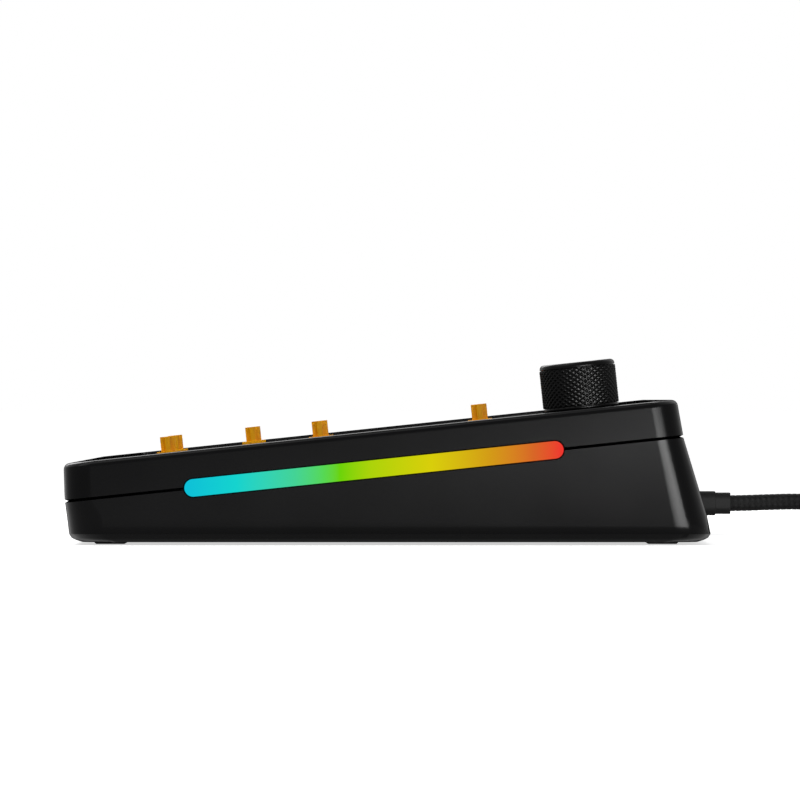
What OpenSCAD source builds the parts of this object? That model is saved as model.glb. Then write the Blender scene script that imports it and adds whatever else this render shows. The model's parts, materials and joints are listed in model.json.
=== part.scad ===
// Barebone keyboard kit: two case shells, plate, board, stabilisers, knob, light bars and cable.
// Millimetres. +X is the user's right, +Y the rear, +Z up.
// The origin is on the table, under the middle of the case.

/* [Layout] */
// Distance between neighbouring key centres
key_pitch = 19.05; // [18.5:0.05:19.5]
// Width of the rim round the key field
bezel = 13.3; // [12.7:0.1:16]

/* [Case] */
// Slope of the typing plane in degrees
case_tilt = 6; // [5:0.5:7]
// Height of the seam above the table at the middle of the case
seam_height = 17.9; // [17.4:0.1:20]
// Height of the upper shell above the seam
upper_h = 8.8; // [8.4:0.1:10]
// Draft of the upper shell's walls in degrees
wall_draft = 3.9; // [2:0.1:5]
// Radius along the top edge
edge_radius = 1.5; // [0.8:0.1:2]
// Corner radius of the case seen from above
corner_radius = 6.5; // [5:0.5:8]
// Corner radius of the lower shell at its base
base_corner_radius = 8.5; // [6:0.5:10]
// How far the foot of the rear wall stands out behind the seam
rear_flare = 6.46; // [5:0.1:8]
// How far the foot of the front wall sits behind the front edge
front_tuck = 1.2; // [0.5:0.1:2]
// Height of each shell's slant along the seam
seam_chamfer = 0.35; // [0.1:0.05:0.4]
// Depth of the groove that the two slants make
seam_depth = 0.8; // [0.4:0.1:1]
// Height of the curved band low on the side walls
side_band_h = 3.8; // [3:0.1:4.5]
// Width of the curved band low on the side walls
side_band_w = 3.2; // [2:0.1:4]
// Height of the curved edge along the front and rear of the base
base_edge_h = 1.9; // [1:0.1:2.5]
// Width of the curved edge along the front and rear of the base
base_edge_w = 3; // [1:0.1:3.5]
// Thickness of the lower shell's floor
floor_t = 2.8; // [2:0.1:3]
// Chamfer along the top edge of the key well
well_chamfer = 0.5; // [0.2:0.1:0.8]

/* [Feet] */
// Height of the base above the table
foot_stand = 0.72; // [0.5:0.01:1.2]
// Length of a rubber foot
foot_length = 34; // [20:1:44]
// Width of a rubber foot
foot_w = 7.5; // [5:0.1:9]
// Depth of the recess that holds a foot
foot_recess = 1; // [0.6:0.1:1.2]
// Chamfer of a foot's long edges
foot_chamfer = 0.4; // [0.2:0.05:0.5]

/* [Light bars] */
// Thickness of the glowing bar
bar_t = 4.1; // [3:0.1:4.6]
// Distance between the centres of the bar's round ends
bar_span = 85; // [70:1:88]
// Dark gap round the bar
bar_gap = 0.3; // [0.2:0.05:0.4]
// Depth of the light guide behind the side face
bar_depth = 3.1; // [2.5:0.1:3.4]

/* [Keyboard core] */
// Depth of the plate's top face under the bezel
plate_drop = 6.55; // [6.3:0.05:6.8]
// Thickness of the switch plate
plate_t = 1.5; // [1.2:0.1:1.6]
// Distance from the plate's top face to the board's
plate_to_board = 5; // [4.9:0.05:5.2]
// Thickness of the circuit board
board_t = 1.6; // [1:0.1:1.8]
// Side of a square switch cut-out
cutout = 14; // [13.8:0.05:14.2]
// Thickness of a gasket pad
gasket_t = 1.2; // [1:0.1:1.4]
// Thickness of the foam on the case floor
case_foam_t = 1.6; // [1:0.1:1.8]

/* [Knob] */
// Diameter over the knurl
knob_d = 18; // [16:0.1:18.4]
// Height of the knob's top face above the bezel
knob_rise = 11.1; // [9:0.05:13]
// How far the knob presses in
knob_travel = 0.5; // [0.3:0.1:0.6]
// Diamonds round the knurl
knurl_around = 37; // [24:1:44]
// Diamonds along the knurl
knurl_rows = 8; // [5:1:9]
// Depth of the knurl
knurl_depth = 0.4; // [0.2:0.05:0.5]
// Diameter of the encoder's shaft
shaft_d = 6; // [5.6:0.1:6.2]

/* [Stabilisers] */
// How far a stem slides down
stem_travel = 4; // [3.6:0.1:4]
// Width of the cross on a stem
cross_w = 4; // [3.9:0.05:4.1]
// Length of the cross from front to rear
cross_d = 3.6; // [3.4:0.05:4.1]
// Height of the cross above the slider
cross_h = 3.65; // [3.4:0.05:4]
// Diameter of the stabiliser wire
wire_d = 1.6; // [1.4:0.1:1.6]
// Distance from the wire's bar to the tip of its arms
wire_arm = 9; // [8.6:0.1:9.2]
// Distance from a short key's centre to each of its stems
short_key_reach = 11.94; // [11.8:0.02:12.1]
// Distance from the space bar's centre to each of its stems
space_key_reach = 50; // [49:0.5:51]

/* [Cable] */
// Distance of the cable port to the left of the case's middle
port_offset = 60; // [40:1:80]
// Height of the cable port above the table
port_height = 7.9; // [7.7:0.1:8.6]
// Diameter of the braided cable
cable_d = 4.1; // [3.6:0.1:4.1]
// Turns in the coil
coil_turns = 9.25; // [7.25:1:11.25]

/* [Hidden] */

$fn = 48;
quarter = 90;
turn = 360;
arc_steps = 8;
over = 1;
fit = 0.1;
screw_fit = 0.05;

// Key widths of each row from the rear to the front in key pitches: a negative share is a gap
key_width_shares = [
    [1, -0.25, 1, 1, 1, 1, -0.25, 1, 1, 1, 1, -0.25, 1, 1, 1, 1, -0.25, 1],
    [1, 1, 1, 1, 1, 1, 1, 1, 1, 1, 1, 1, 1, 2, 1],
    [1.5, 1, 1, 1, 1, 1, 1, 1, 1, 1, 1, 1, 1, 1.5, 1],
    [1.75, 1, 1, 1, 1, 1, 1, 1, 1, 1, 1, 1, 2.25, 1],
    [2.25, 1, 1, 1, 1, 1, 1, 1, 1, 1, 1, 1.75, 1, 1],
    [1.25, 1.25, 1.25, 6.25, 1, 1, 1, 1, 1, 1]
];
field_width_share = 16;
row_gap_share = 0.25;
row_count = len(key_width_shares);

// Key field and the upper shell, measured in the typing plane
field_w = field_width_share * key_pitch;
field_d = (row_count + row_gap_share) * key_pitch;
deck_w = field_w + 2 * bezel;
deck_d = field_d + 2 * bezel;

// Place of the typing plane: the case is centred on the origin from front to back
draft_inset = (upper_h - edge_radius) * tan(wall_draft);
front_reach = (deck_d / 2 - draft_inset) * cos(case_tilt) + (upper_h - edge_radius) * sin(case_tilt);
rear_reach = deck_d / 2 * cos(case_tilt) + rear_flare;
deck_y = (front_reach - rear_reach) / 2;
deck_z = seam_height;
case_front = deck_y - front_reach;
case_back = deck_y + rear_reach;

// Levels above the seam, square to the typing plane
plate_top = upper_h - plate_drop;
plate_bottom = plate_top - plate_t;
board_top = plate_top - plate_to_board;
board_bottom = board_top - board_t;
pad_top = plate_top + gasket_t;
pad_bottom = plate_bottom - gasket_t;

// Insides of the shells
inner_margin = 2.2;
plate_margin = 1.6;
board_margin = 0.8;
inner_radius = 2;
well_gap = 0.5;
well_radius = 1;
floor_top = foot_stand + floor_t;
rear_lean = 0.8;
rear_lean_h = 4.1;
base_edge_top = foot_stand + base_edge_h;
base_edge_shares = [0, 0.25, 0.5, 1];
base_edge_power = 2.3;
foot_front = case_front + front_tuck;
seam_front = deck_y - deck_d / 2 * cos(case_tilt);
seam_front_z = deck_z - deck_d / 2 * sin(case_tilt);

// Places of the rubber feet
foot_x_share = 0.36;
front_foot_edge = 2.4;
rear_foot_edge = 4.1;
front_foot_y = foot_front + base_edge_w + front_foot_edge + foot_w / 2;
rear_foot_y = case_back - base_edge_w - rear_foot_edge - foot_w / 2;

// Plate tabs and their pads
tab_w = 16;
tab_out = 5;
tab_gap = 0.4;
pad_w = 14;
pad_out = 4;
front_tab_shares = [-0.42, -0.21, 0.21, 0.42];
side_tab_shares = [-0.45, 0.45];

// Screws that hold the shells together
case_screw_r = 1.45;
case_screw_head_r = 2.6;
case_screw_head_h = 1.8;
case_screw_seat = 6.5;
case_screw_bite = 5;
case_screw_inset = 6.8;
case_screw_x_shares = [-0.48, -0.13, 0.13, 0.48];

// Screws and spacers between plate and board
small_screw_r = 0.95;
small_head_r = 1.8;
small_head_h = 1.1;
spacer_r = 2.2;
spacer_screw_bite = 1.5;
rear_spacer_shares = [-0.375, -0.125, 0.125, 0.31];
middle_spacer_shares = [-0.31, 0, 0.26];
front_spacer_shares = [-0.33, -0.07, 0.245];

// Holes, socket and light of one key on the board
post_hole_r = 2;
side_post_hole_r = 0.9;
side_post_x = 5.08;
pin_hole_r = 1.5;
pin_places = [[-3.81, 2.54], [2.54, 5.08]];
socket_h = 1.8;
socket_low = 0.4;
socket_high = 6.9;
socket_left = -6.1;
socket_right = 4.8;
socket_step_y = 4.6;
socket_step_x = -1.3;
led_y = -4.9;
led_w = 3.4;
led_d = 2.8;
led_h = 0.8;
foam_cutout_gap = 0.4;
plate_foam_t = 3.2;
foam_wall_gap = 2;

// Light bars and the strips behind them
bar_face_inset = 0.2;
bar_lip_t = 1.3;
bar_flange_fit = 0.05;
strip_t = 1;
strip_fit = 0.3;
strip_led_w = 2;
strip_led_h = 0.6;
strip_led_count = 12;
strip_wire_r = 1.2;
bar_r = bar_t / 2;
bar_pocket_r = bar_r + bar_gap;
bar_face_x = deck_w / 2 - bar_face_inset;
bar_back_x = bar_face_x - bar_depth;
strip_face_x = bar_back_x - strip_fit - strip_led_h;
strip_back_x = strip_face_x - strip_t;
bar_pocket_x = strip_back_x - screw_fit;

// Knob and encoder: the knob stands a little to the right of its key column, so that the wall between
// its seat and the key well stays whole
knob_shift = 1;
knob_gap = 0.3;
knob_land = 0.5;
knob_float = 0.1;
knob_floor_gap = 0.4;
knob_recess = knob_float + knob_travel + knob_floor_gap;
knob_r = knob_d / 2;
knob_block_reach = knob_r + knob_gap + knob_land + well_chamfer;
knob_rim = 0.15;
knob_foot_h = 0.9;
knob_crown_h = 1.3;
knob_chamfer = 1;
knob_foot_chamfer = 0.3;
knurl_lap = 0.2;
knob_bottom = upper_h - knob_float;
knob_top = upper_h + knob_rise;
knob_bore_fit = 0.02;
knob_roof = 2.4;
shaft_r = shaft_d / 2;
shaft_run_fit = 0.06;
shaft_top = knob_top - knob_roof;
shaft_foot_gap = 0.9;
shaft_foot = knob_travel + shaft_foot_gap;
set_screw_r = 1;
set_screw_z = 4;
set_screw_sink = 1.2;
encoder_w = 12;
encoder_h = 6.5;
encoder_wall = 0.9;
encoder_plate_gap = 1;
neck_r = 3.5;
neck_gap = 0.3;
neck_h = 3.6;
rotor_r = 4.8;
rotor_t = 1.3;
rotor_gap = 0.15;
rotor_lift = 3.2;
encoder_top = board_top + encoder_h;
encoder_roof_gap = 0.8;

// Stabiliser: places are measured from the plate's top face at the stem's centre
stem_half_w = 2.3;
stem_half_d = 2.9;
cross_t = 1.3;
stem_floor_t = 0.8;
wire_r = wire_d / 2;
wire_bend = wire_d;
wire_slack = 0.3;
wire_side_slack = 0.2;
bar_y = -8.3;
bar_z = -2.6;
stem_board_gap = 0.2;
hook_low = stem_board_gap - plate_to_board + stem_floor_t + wire_r + wire_slack;
hook_high = hook_low + stem_travel;
arm_up = asin((hook_high - bar_z) / wire_arm);
arm_down = asin((bar_z - hook_low) / wire_arm);
tip_back = bar_y + wire_arm * cos(arm_down);
stem_bottom = hook_high - wire_r - wire_slack - stem_floor_t;
window_half_h = wire_r + wire_slack;
window_end_gap = 0.5;
housing_wall = 1;
housing_front = -6;
housing_back = 6.2;
housing_tower = 4.3;
housing_step_z = 1;
housing_top = 5.4;
housing_chamfer = 0.5;
housing_boss_y = 8.3;
housing_boss_r = 2.3;
housing_boss_h = 3;
housing_screw_bite = 2.6;
housing_cutout_gap = 0.25;
arm_slot_top = 1.4;
clip_front = -9.5;
clip_top = -2;
clip_foot = -4.7;
clip_fit = 0.1;
cutout_front = -8;
board_screw_gap = 0.15;
board_screw_hole_r = small_screw_r + board_screw_gap;

// Cable port at the rear and the small board behind it
port_x = -port_offset;
usb_socket_w = 8.94;
usb_socket_h = 3.26;
usb_socket_l = 7.35;
usb_wall = 0.3;
usb_tongue_w = 6.7;
usb_tongue_h = 0.7;
usb_tongue_l = 5;
port_slot_gap = 0.25;
port_wall_t = 1.2;
port_recess_gap = 0.5;
port_recess_depth = 1.6;
port_face_y = case_back - rear_lean - port_recess_depth;
usb_board_w = 20;
usb_board_d = 24;
usb_board_t = 1.6;
usb_board_top = port_height - usb_socket_h / 2;
usb_board_front = port_face_y - port_wall_t - usb_board_d - fit;
usb_pocket_gap = 0.6;
usb_pocket_rise = 3;
usb_pocket_top = port_height + usb_pocket_rise;
usb_pocket_front = usb_board_front;
usb_post_r = 2.2;
usb_post_inset = 3;
usb_post_h = usb_board_top - usb_board_t - floor_top;
usb_screw_bite = 0.8;
link_screw_gap = 0.7;
link_plug_w = usb_board_w - 2 * (usb_post_inset + small_head_r + link_screw_gap);
link_side = 0.9;
link_w = link_plug_w - 2 * link_side;
link_t = 0.9;
link_plug_d = 4;
link_plug_h = 2.6;
link_board_y = 35.4;
link_steps = 12;
link_bend = 3.6;
chip_w = 7;
chip_h = 1;
chip_x = 20;
crystal_w = 3.2;
crystal_gap = 2;

// Plugs on the cable
plug_shell_w = 8.25;
plug_shell_h = 2.4;
plug_shell_l = 6.4;
plug_shell_wall = 0.35;
plug_root_t = 1;
boot_w = 11;
boot_h = 6.1;
boot_l = 9.1;
boot_step = 0.35;
boot_radius = 2.2;
boot_gap = 0.1;
a_shell_w = 12;
a_shell_h = 4.5;
a_shell_l = 12;
a_shell_wall = 0.4;
a_block_h = 1.8;
a_block_back = 1;
a_boot_w = 16;
a_boot_h = 7.6;
a_boot_l = 22;
a_boot_neck_w = 8;
a_boot_neck_l = 5;
a_boot_radius = 2;

// Route of the cable from the boot to the coil, and from the coil to the far plug
lead_points = [
    [-60, 86.4, 7.9], [-60, 91, 8], [-60, 97, 8.2], [-60, 103, 8.3], [-60, 109, 8], [-60, 115, 7.2],
    [-60, 121, 6], [-60, 127, 4.8], [-60, 133, 3.8], [-60, 139, 3.2], [-60, 146, 3]
];
tail_points = [
    [-19, 179, 16.8], [-12, 179.5, 15.8], [-5, 180, 13.8], [2, 180.5, 11.2],
    [9, 181, 8.6], [16, 181, 6.4], [23, 181, 4.8], [29, 181, 4], [35, 181, 3.8]
];
cable_sides = 8;

// Coil: four layers that wind in and out again, tied with a strap
coil_layers = 4;
coil_sides = 6;
coil_steps = 24;
coil_mean_r = 24;
coil_gap = 0.5;
coil_pitch = cable_d + coil_gap;
tie_t = 0.6;
tie_w = 10;
tie_gap = 0.3;
tie_floor_gap = 0.1;
tie_angle = -50;
layer_turns = coil_turns / coil_layers;
coil_outer_r = coil_mean_r + coil_pitch * layer_turns / 2;
coil_inner_r = coil_mean_r - coil_pitch * layer_turns / 2;
coil_z = lead_points[len(lead_points) - 1].z;
coil_start = lead_points[len(lead_points) - 1] + [0, cable_d, 0];
coil_centre = [coil_start.x + coil_outer_r, coil_start.y];

// Geometry helpers
function direction(v) = v / norm(v);
function rect_points(x0, x1, y0, y1) = [[x0, y0], [x1, y0], [x1, y1], [x0, y1]];
// Outline whose square corners are rounded, also where it turns inwards
function rounded(points, r) = [
    for (i = [0 : len(points) - 1])
        let (p = points[i],
             before = direction(points[(i + len(points) - 1) % len(points)] - p),
             after = direction(points[(i + 1) % len(points)] - p),
             centre = p + r * (before + after))
        for (k = [0 : arc_steps])
            let (a = quarter * k / arc_steps)
            centre - r * (after * cos(a) + before * sin(a))
];
function centred_outline(w, d, r) = rounded(rect_points(-w / 2, w / 2, -d / 2, d / 2), r);
// A point given in the typing plane's own directions, as a point of the part
function deck_point(p) = [
    p.x,
    deck_y + p.y * cos(case_tilt) - p.z * sin(case_tilt),
    deck_z + p.y * sin(case_tilt) + p.z * cos(case_tilt)
];
function deck_layer(z, inset) = [
    for (p = centred_outline(deck_w - 2 * inset, deck_d - 2 * inset, corner_radius))
        deck_point([p.x, p.y, z])
];
// Rings of a tube that follows a route
function route_step(points, i) = direction(points[min(i + 1, len(points) - 1)] - points[max(i - 1, 0)]);
function tube_rings(points, r, sides) = [
    for (i = [0 : len(points) - 1])
        let (ahead = route_step(points, i),
             side = direction(cross([0, 0, 1], ahead)),
             up = cross(ahead, side))
        [for (k = [0 : sides - 1])
            let (a = turn * (k + 0.5) / sides)
            points[i] + r * (cos(a) * side + sin(a) * up)]
];

// Solid skinned over a stack of outlines that have equally many points
module loft(layers) {
    n = len(layers[0]);
    m = len(layers);
    polyhedron(
        points = [for (layer = layers) for (p = layer) p],
        faces = concat(
            [[for (i = [0 : n - 1]) i]],
            [[for (i = [n - 1 : -1 : 0]) (m - 1) * n + i]],
            [for (j = [0 : m - 2]) for (i = [0 : n - 1])
                [j * n + i, (j + 1) * n + i, (j + 1) * n + (i + 1) % n]],
            [for (j = [0 : m - 2]) for (i = [0 : n - 1])
                [j * n + i, (j + 1) * n + (i + 1) % n, j * n + (i + 1) % n]]
        )
    );
}

module on_deck(x = 0, y = 0, z = 0) {
    translate([0, deck_y, deck_z]) rotate([case_tilt, 0, 0]) translate([x, y, z]) children();
}

// Flat piece in the typing plane: an outline raised from one level to another
module deck_sheet(z0, z1) {
    on_deck(z = z0) linear_extrude(z1 - z0) children();
}

module box_between(a, b) {
    translate(a) cube(b - a);
}

// Long round-ended outline
module stadium(w, h) {
    square([w - h, h], center = true);
    for (side = [-1, 1]) translate([side * (w - h) / 2, 0]) circle(h / 2);
}

// The children extruded along +Y from y0 to y1: their x stays and their y becomes height
module along_y(y0, y1) {
    translate([0, y1, 0]) rotate([quarter, 0, 0]) linear_extrude(y1 - y0) children();
}

// The children extruded along +X from x0 to x1: their x becomes y and their y becomes height
module along_x(x0, x1) {
    translate([x0, 0, 0]) rotate([quarter, 0, quarter]) linear_extrude(x1 - x0) children();
}

// Places of keys, rows and what stands between them
function share_sum(row, count) = count == 0 ? 0 : abs(row[count - 1]) + share_sum(row, count - 1);
function key_x(row, i) = -field_w / 2 + key_pitch * (share_sum(row, i) + abs(row[i]) / 2);
function row_y(r) = -field_d / 2 + key_pitch * (row_count - r - 0.5 + (r == 0 ? row_gap_share : 0));
key_places = [
    for (r = [0 : row_count - 1]) for (i = [0 : len(key_width_shares[r]) - 1])
        if (key_width_shares[r][i] > 0) [key_x(key_width_shares[r], i), row_y(r)]
];
space_key = [key_x(key_width_shares[5], 3), row_y(5), space_key_reach];
left_shift_key = [key_x(key_width_shares[4], 0), row_y(4), short_key_reach];
enter_key = [key_x(key_width_shares[3], 12), row_y(3), short_key_reach];
backspace_key = [key_x(key_width_shares[1], 13), row_y(1), short_key_reach];
wide_keys = [space_key, left_shift_key, enter_key, backspace_key];
knob_place = [field_w / 2 - key_pitch / 2 + knob_shift, row_y(0)];
stem_places = [for (key = wide_keys) for (side = [-1, 1]) [key.x + side * key.z, key.y]];
spacer_places = concat(
    [for (s = rear_spacer_shares) [s * field_w, (row_y(0) + row_y(1)) / 2]],
    [for (s = middle_spacer_shares) [s * field_w, (row_y(2) + row_y(3)) / 2]],
    [for (s = front_spacer_shares) [s * field_w, (row_y(4) + row_y(5)) / 2]]
);
case_screw_places = [
    for (s = case_screw_x_shares) for (side = [-1, 1])
        [s * (deck_w - 2 * case_screw_inset), side * (deck_d / 2 - case_screw_inset)]
];
// A tab is given by its middle on the field's edge and the way it points
tabs = concat(
    [for (s = front_tab_shares) for (side = [-1, 1]) [s * field_w, side * field_d / 2, [0, side]]],
    [for (s = side_tab_shares) for (side = [-1, 1]) [side * field_w / 2, s * field_d, [side, 0]]]
);

// Outline of a tab or pad: w wide, from inside to outside of the field's edge
module tab_outline(tab, w, from, to) {
    across = [tab[2].y, tab[2].x];
    corner_a = [tab[0], tab[1]] + from * tab[2] - across * w / 2;
    corner_b = [tab[0], tab[1]] + to * tab[2] + across * w / 2;
    low = [min(corner_a.x, corner_b.x), min(corner_a.y, corner_b.y)];
    high = [max(corner_a.x, corner_b.x), max(corner_a.y, corner_b.y)];
    translate(low) square(high - low);
}

// Key well seen from above: the field without the block round the knob
function well_outline(grow) = rounded([
    [-field_w / 2 - well_gap - grow, -field_d / 2 - well_gap - grow],
    [field_w / 2 + well_gap + grow, -field_d / 2 - well_gap - grow],
    [field_w / 2 + well_gap + grow, knob_place.y - knob_block_reach + grow],
    [knob_place.x - knob_block_reach + grow, knob_place.y - knob_block_reach + grow],
    [knob_place.x - knob_block_reach + grow, field_d / 2 + well_gap + grow],
    [-field_w / 2 - well_gap - grow, field_d / 2 + well_gap + grow]
], well_radius);

module light_pocket(side) {
    on_deck() mirror([side < 0 ? 1 : 0, 0, 0])
        along_x(bar_pocket_x, deck_w / 2 + over) stadium(bar_span + 2 * bar_pocket_r, 2 * bar_pocket_r);
    on_deck(y = -bar_span / 2) mirror([side < 0 ? 1 : 0, 0, 0])
        translate([field_w / 2, 0, 0]) rotate([0, quarter, 0])
            cylinder(h = bar_pocket_x - field_w / 2 + over, r = strip_wire_r);
}

module tab_pockets(z0, z1) {
    deck_sheet(z0, z1) for (tab = tabs)
        tab_outline(tab, tab_w + 2 * tab_gap, 0, plate_margin + tab_out + tab_gap);
}

// Outline of the room inside the shells
module inner_outline() {
    polygon(centred_outline(field_w + 2 * inner_margin, field_d + 2 * inner_margin, inner_radius));
}

module on_knob(z = 0) {
    on_deck(knob_place.x, knob_place.y, z) children();
}

// Half width, front and back of the lower shell at a height near its base
function edge_curve(z, h) = pow(max(0, 1 - (z - foot_stand) / h), base_edge_power);
function lower_half_w(z) = deck_w / 2 - side_band_w * edge_curve(z, side_band_h);
function base_inset(z) = base_edge_w * edge_curve(z, base_edge_h);
function above_edge(z) = max(0, z - base_edge_top);
function lower_front(z) = foot_front + base_inset(z)
    + (seam_front - foot_front) * above_edge(z) / (seam_front_z - base_edge_top);
function lower_back(z) = case_back - base_inset(z) - rear_lean * above_edge(z) / rear_lean_h;
function lower_layer(z) = [
    for (p = rounded(
        rect_points(-lower_half_w(z), lower_half_w(z), lower_front(z), lower_back(z)), base_corner_radius))
        [p.x, p.y, z]
];

module foot_places(y_middle) {
    for (side = [-1, 1]) translate([side * deck_w * foot_x_share, y_middle, 0]) children();
}
module foot(y_middle, grow) {
    foot_places(y_middle) along_x(-foot_length / 2 - grow, foot_length / 2 + grow) polygon([
        [-foot_w / 2 + foot_chamfer - grow, 0],
        [foot_w / 2 - foot_chamfer + grow, 0],
        [foot_w / 2 + grow, foot_chamfer],
        [foot_w / 2 + grow, foot_stand + foot_recess],
        [-foot_w / 2 - grow, foot_stand + foot_recess],
        [-foot_w / 2 - grow, foot_chamfer]
    ]);
}

module case_screw_cuts(hole_z, hole_r) {
    for (p = case_screw_places) on_deck(p.x, p.y, -case_screw_seat - over)
        cylinder(h = hole_z + case_screw_seat + over, r = hole_r);
}

module lower_shell() difference() {
    loft(concat(
        [for (share = base_edge_shares) lower_layer(foot_stand + share * base_edge_h)],
        [lower_layer(foot_stand + side_band_h), lower_layer(base_edge_top + rear_lean_h)],
        [deck_layer(-seam_chamfer, 0), deck_layer(0, seam_depth)]
    ));
    // Cavity: square to the typing plane above a level floor
    intersection() {
        deck_sheet(-deck_d, over) inner_outline();
        box_between([-deck_w, -deck_d, floor_top], [deck_w, deck_d, deck_d]);
    }
    tab_pockets(pad_bottom, over);
    for (side = [-1, 1]) light_pocket(side);
    // Screw holes with deep counterbores from below
    case_screw_cuts(over, case_screw_r + fit);
    for (p = case_screw_places)
        on_deck(p.x, p.y, -case_screw_seat - deck_d) cylinder(h = deck_d, r = case_screw_head_r + fit);
    foot(front_foot_y, fit);
    foot(rear_foot_y, fit);
    // Room for the small board, the port's slot and the flat round it
    box_between(
        [port_x - usb_board_w / 2 - usb_pocket_gap, usb_pocket_front, floor_top],
        [port_x + usb_board_w / 2 + usb_pocket_gap, port_face_y - port_wall_t, usb_pocket_top]
    );
    translate([port_x, 0, port_height]) along_y(port_face_y - port_wall_t - over, case_back + over)
        stadium(usb_socket_w + 2 * port_slot_gap, usb_socket_h + 2 * port_slot_gap);
    translate([port_x, 0, port_height]) along_y(port_face_y, case_back + over) polygon(centred_outline(
        boot_w + 2 * port_recess_gap, boot_h + 2 * port_recess_gap, boot_radius + port_recess_gap));
}

module bottom_case() color([0.1, 0.1, 0.11]) {
    lower_shell();
    // Posts for the small board
    usb_screw_places(floor_top - fit) difference() {
        cylinder(h = usb_post_h + fit, r = usb_post_r);
        translate([0, 0, fit]) cylinder(h = usb_post_h + over, r = small_screw_r + screw_fit);
    }
}

module usb_screw_places(z) {
    for (side = [-1, 1]) translate([
        port_x + side * (usb_board_w / 2 - usb_post_inset), usb_board_front + usb_post_inset, z
    ]) children();
}

module top_case() color([0.12, 0.12, 0.13]) difference() {
    loft(concat(
        [deck_layer(0, seam_depth), deck_layer(seam_chamfer, 0)],
        [for (a = [0 : quarter / 4 : quarter]) deck_layer(
            upper_h - edge_radius + edge_radius * sin(a), draft_inset + edge_radius * (1 - cos(a)))]
    ));
    deck_sheet(-over, pad_top) inner_outline();
    tab_pockets(-over, pad_top);
    // Key well, wider at its slanted rim
    loft([
        for (level = [[-over, 0], [upper_h - well_chamfer, 0], [upper_h + over, well_chamfer + over]])
            [for (p = well_outline(level[1])) deck_point([p.x, p.y, level[0]])]
    ]);
    // Shallow seat of the knob, hole for the neck and room for the encoder under it
    on_knob(upper_h - knob_recess) cylinder(h = knob_recess + over, r = knob_r + knob_gap);
    on_knob(-over) cylinder(h = upper_h + over, r = neck_r + neck_gap);
    deck_sheet(-over, encoder_top + encoder_roof_gap) translate(knob_place)
        square(encoder_w + 2 * encoder_plate_gap, center = true);
    for (side = [-1, 1]) light_pocket(side);
    case_screw_cuts(case_screw_bite + over, case_screw_r + screw_fit);
}

module case_screws() color([0.25, 0.25, 0.27])
    for (p = case_screw_places) on_deck(p.x, p.y, -case_screw_seat) {
        cylinder(h = case_screw_seat + case_screw_bite, r = case_screw_r);
        translate([0, 0, -case_screw_head_h]) hex_socket_head(case_screw_head_r, case_screw_head_h);
    }

// Round head with a six-sided recess in its outer end
module hex_socket_head(r, h) difference() {
    cylinder(h = h, r = r);
    translate([0, 0, -over]) cylinder(h = over + h / 2, r = r / 2, $fn = 6);
}

module front_feet() color([0.16, 0.16, 0.16]) foot(front_foot_y, 0);

module rear_feet() color([0.16, 0.16, 0.16]) foot(rear_foot_y, 0);

module light_bar(side) color(side > 0 ? [0.1, 0.85, 0.6] : [0.9, 0.75, 0.1])
    on_deck() mirror([side < 0 ? 1 : 0, 0, 0]) {
        along_x(bar_back_x, bar_face_x) stadium(bar_span + 2 * bar_r, 2 * bar_r);
        along_x(bar_back_x, bar_face_x - bar_lip_t)
            stadium(bar_span + 2 * (bar_pocket_r - bar_flange_fit), 2 * (bar_pocket_r - bar_flange_fit));
    }

module light_strip(side) color([0.9, 0.9, 0.88]) on_deck() mirror([side < 0 ? 1 : 0, 0, 0]) {
    along_x(strip_back_x, strip_face_x) square([bar_span, bar_t], center = true);
    for (i = [0 : strip_led_count - 1]) translate([
        strip_face_x, bar_span * ((i + 0.5) / strip_led_count - 0.5) - strip_led_w / 2, -strip_led_w / 2
    ]) cube([strip_led_h, strip_led_w, strip_led_w]);
}

// Opening of the plate round one stabiliser housing
module housing_cutout(p) {
    half_w = stem_half_w + housing_wall + fit + housing_cutout_gap;
    translate([p.x - half_w, p.y + cutout_front])
        square([2 * half_w, housing_back + housing_cutout_gap - cutout_front]);
}

module switch_plate() color([0.2, 0.2, 0.21]) deck_sheet(plate_bottom, plate_top) difference() {
    union() {
        polygon(centred_outline(field_w + 2 * plate_margin, field_d + 2 * plate_margin, inner_radius));
        for (tab = tabs) tab_outline(tab, tab_w, 0, plate_margin + tab_out);
    }
    for (p = key_places) translate(p) square(cutout, center = true);
    for (p = stem_places) housing_cutout(p);
    translate(knob_place) square(encoder_w + 2 * encoder_plate_gap, center = true);
    for (p = spacer_places) translate(p) circle(small_screw_r + fit);
}

module gasket_pads() color([0.05, 0.05, 0.05])
    for (tab = tabs) for (levels = [[plate_top, pad_top], [pad_bottom, plate_bottom]])
        deck_sheet(levels[0], levels[1])
            tab_outline(tab, pad_w, plate_margin + tab_out - pad_out, plate_margin + tab_out);

module plate_foam() color([0.13, 0.13, 0.14]) deck_sheet(board_top, board_top + plate_foam_t) difference() {
    square([field_w + 2 * board_margin, field_d + 2 * board_margin], center = true);
    for (p = key_places) translate(p) square(cutout + 2 * foam_cutout_gap, center = true);
    for (p = stem_places) {
        half_w = stem_half_w + housing_wall + fit + foam_cutout_gap;
        translate([p.x - half_w, p.y + clip_front - foam_cutout_gap])
            square([2 * half_w, housing_boss_y + housing_boss_r + 2 * foam_cutout_gap - clip_front]);
    }
    for (key = wide_keys) translate([key.x - key.z, key.y + bar_y - wire_r - wire_side_slack])
        square([2 * key.z, wire_d + 2 * wire_side_slack]);
    translate(knob_place) square(encoder_w + 2 * encoder_plate_gap, center = true);
    for (p = spacer_places) translate(p) circle(spacer_r + foam_cutout_gap);
}

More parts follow.
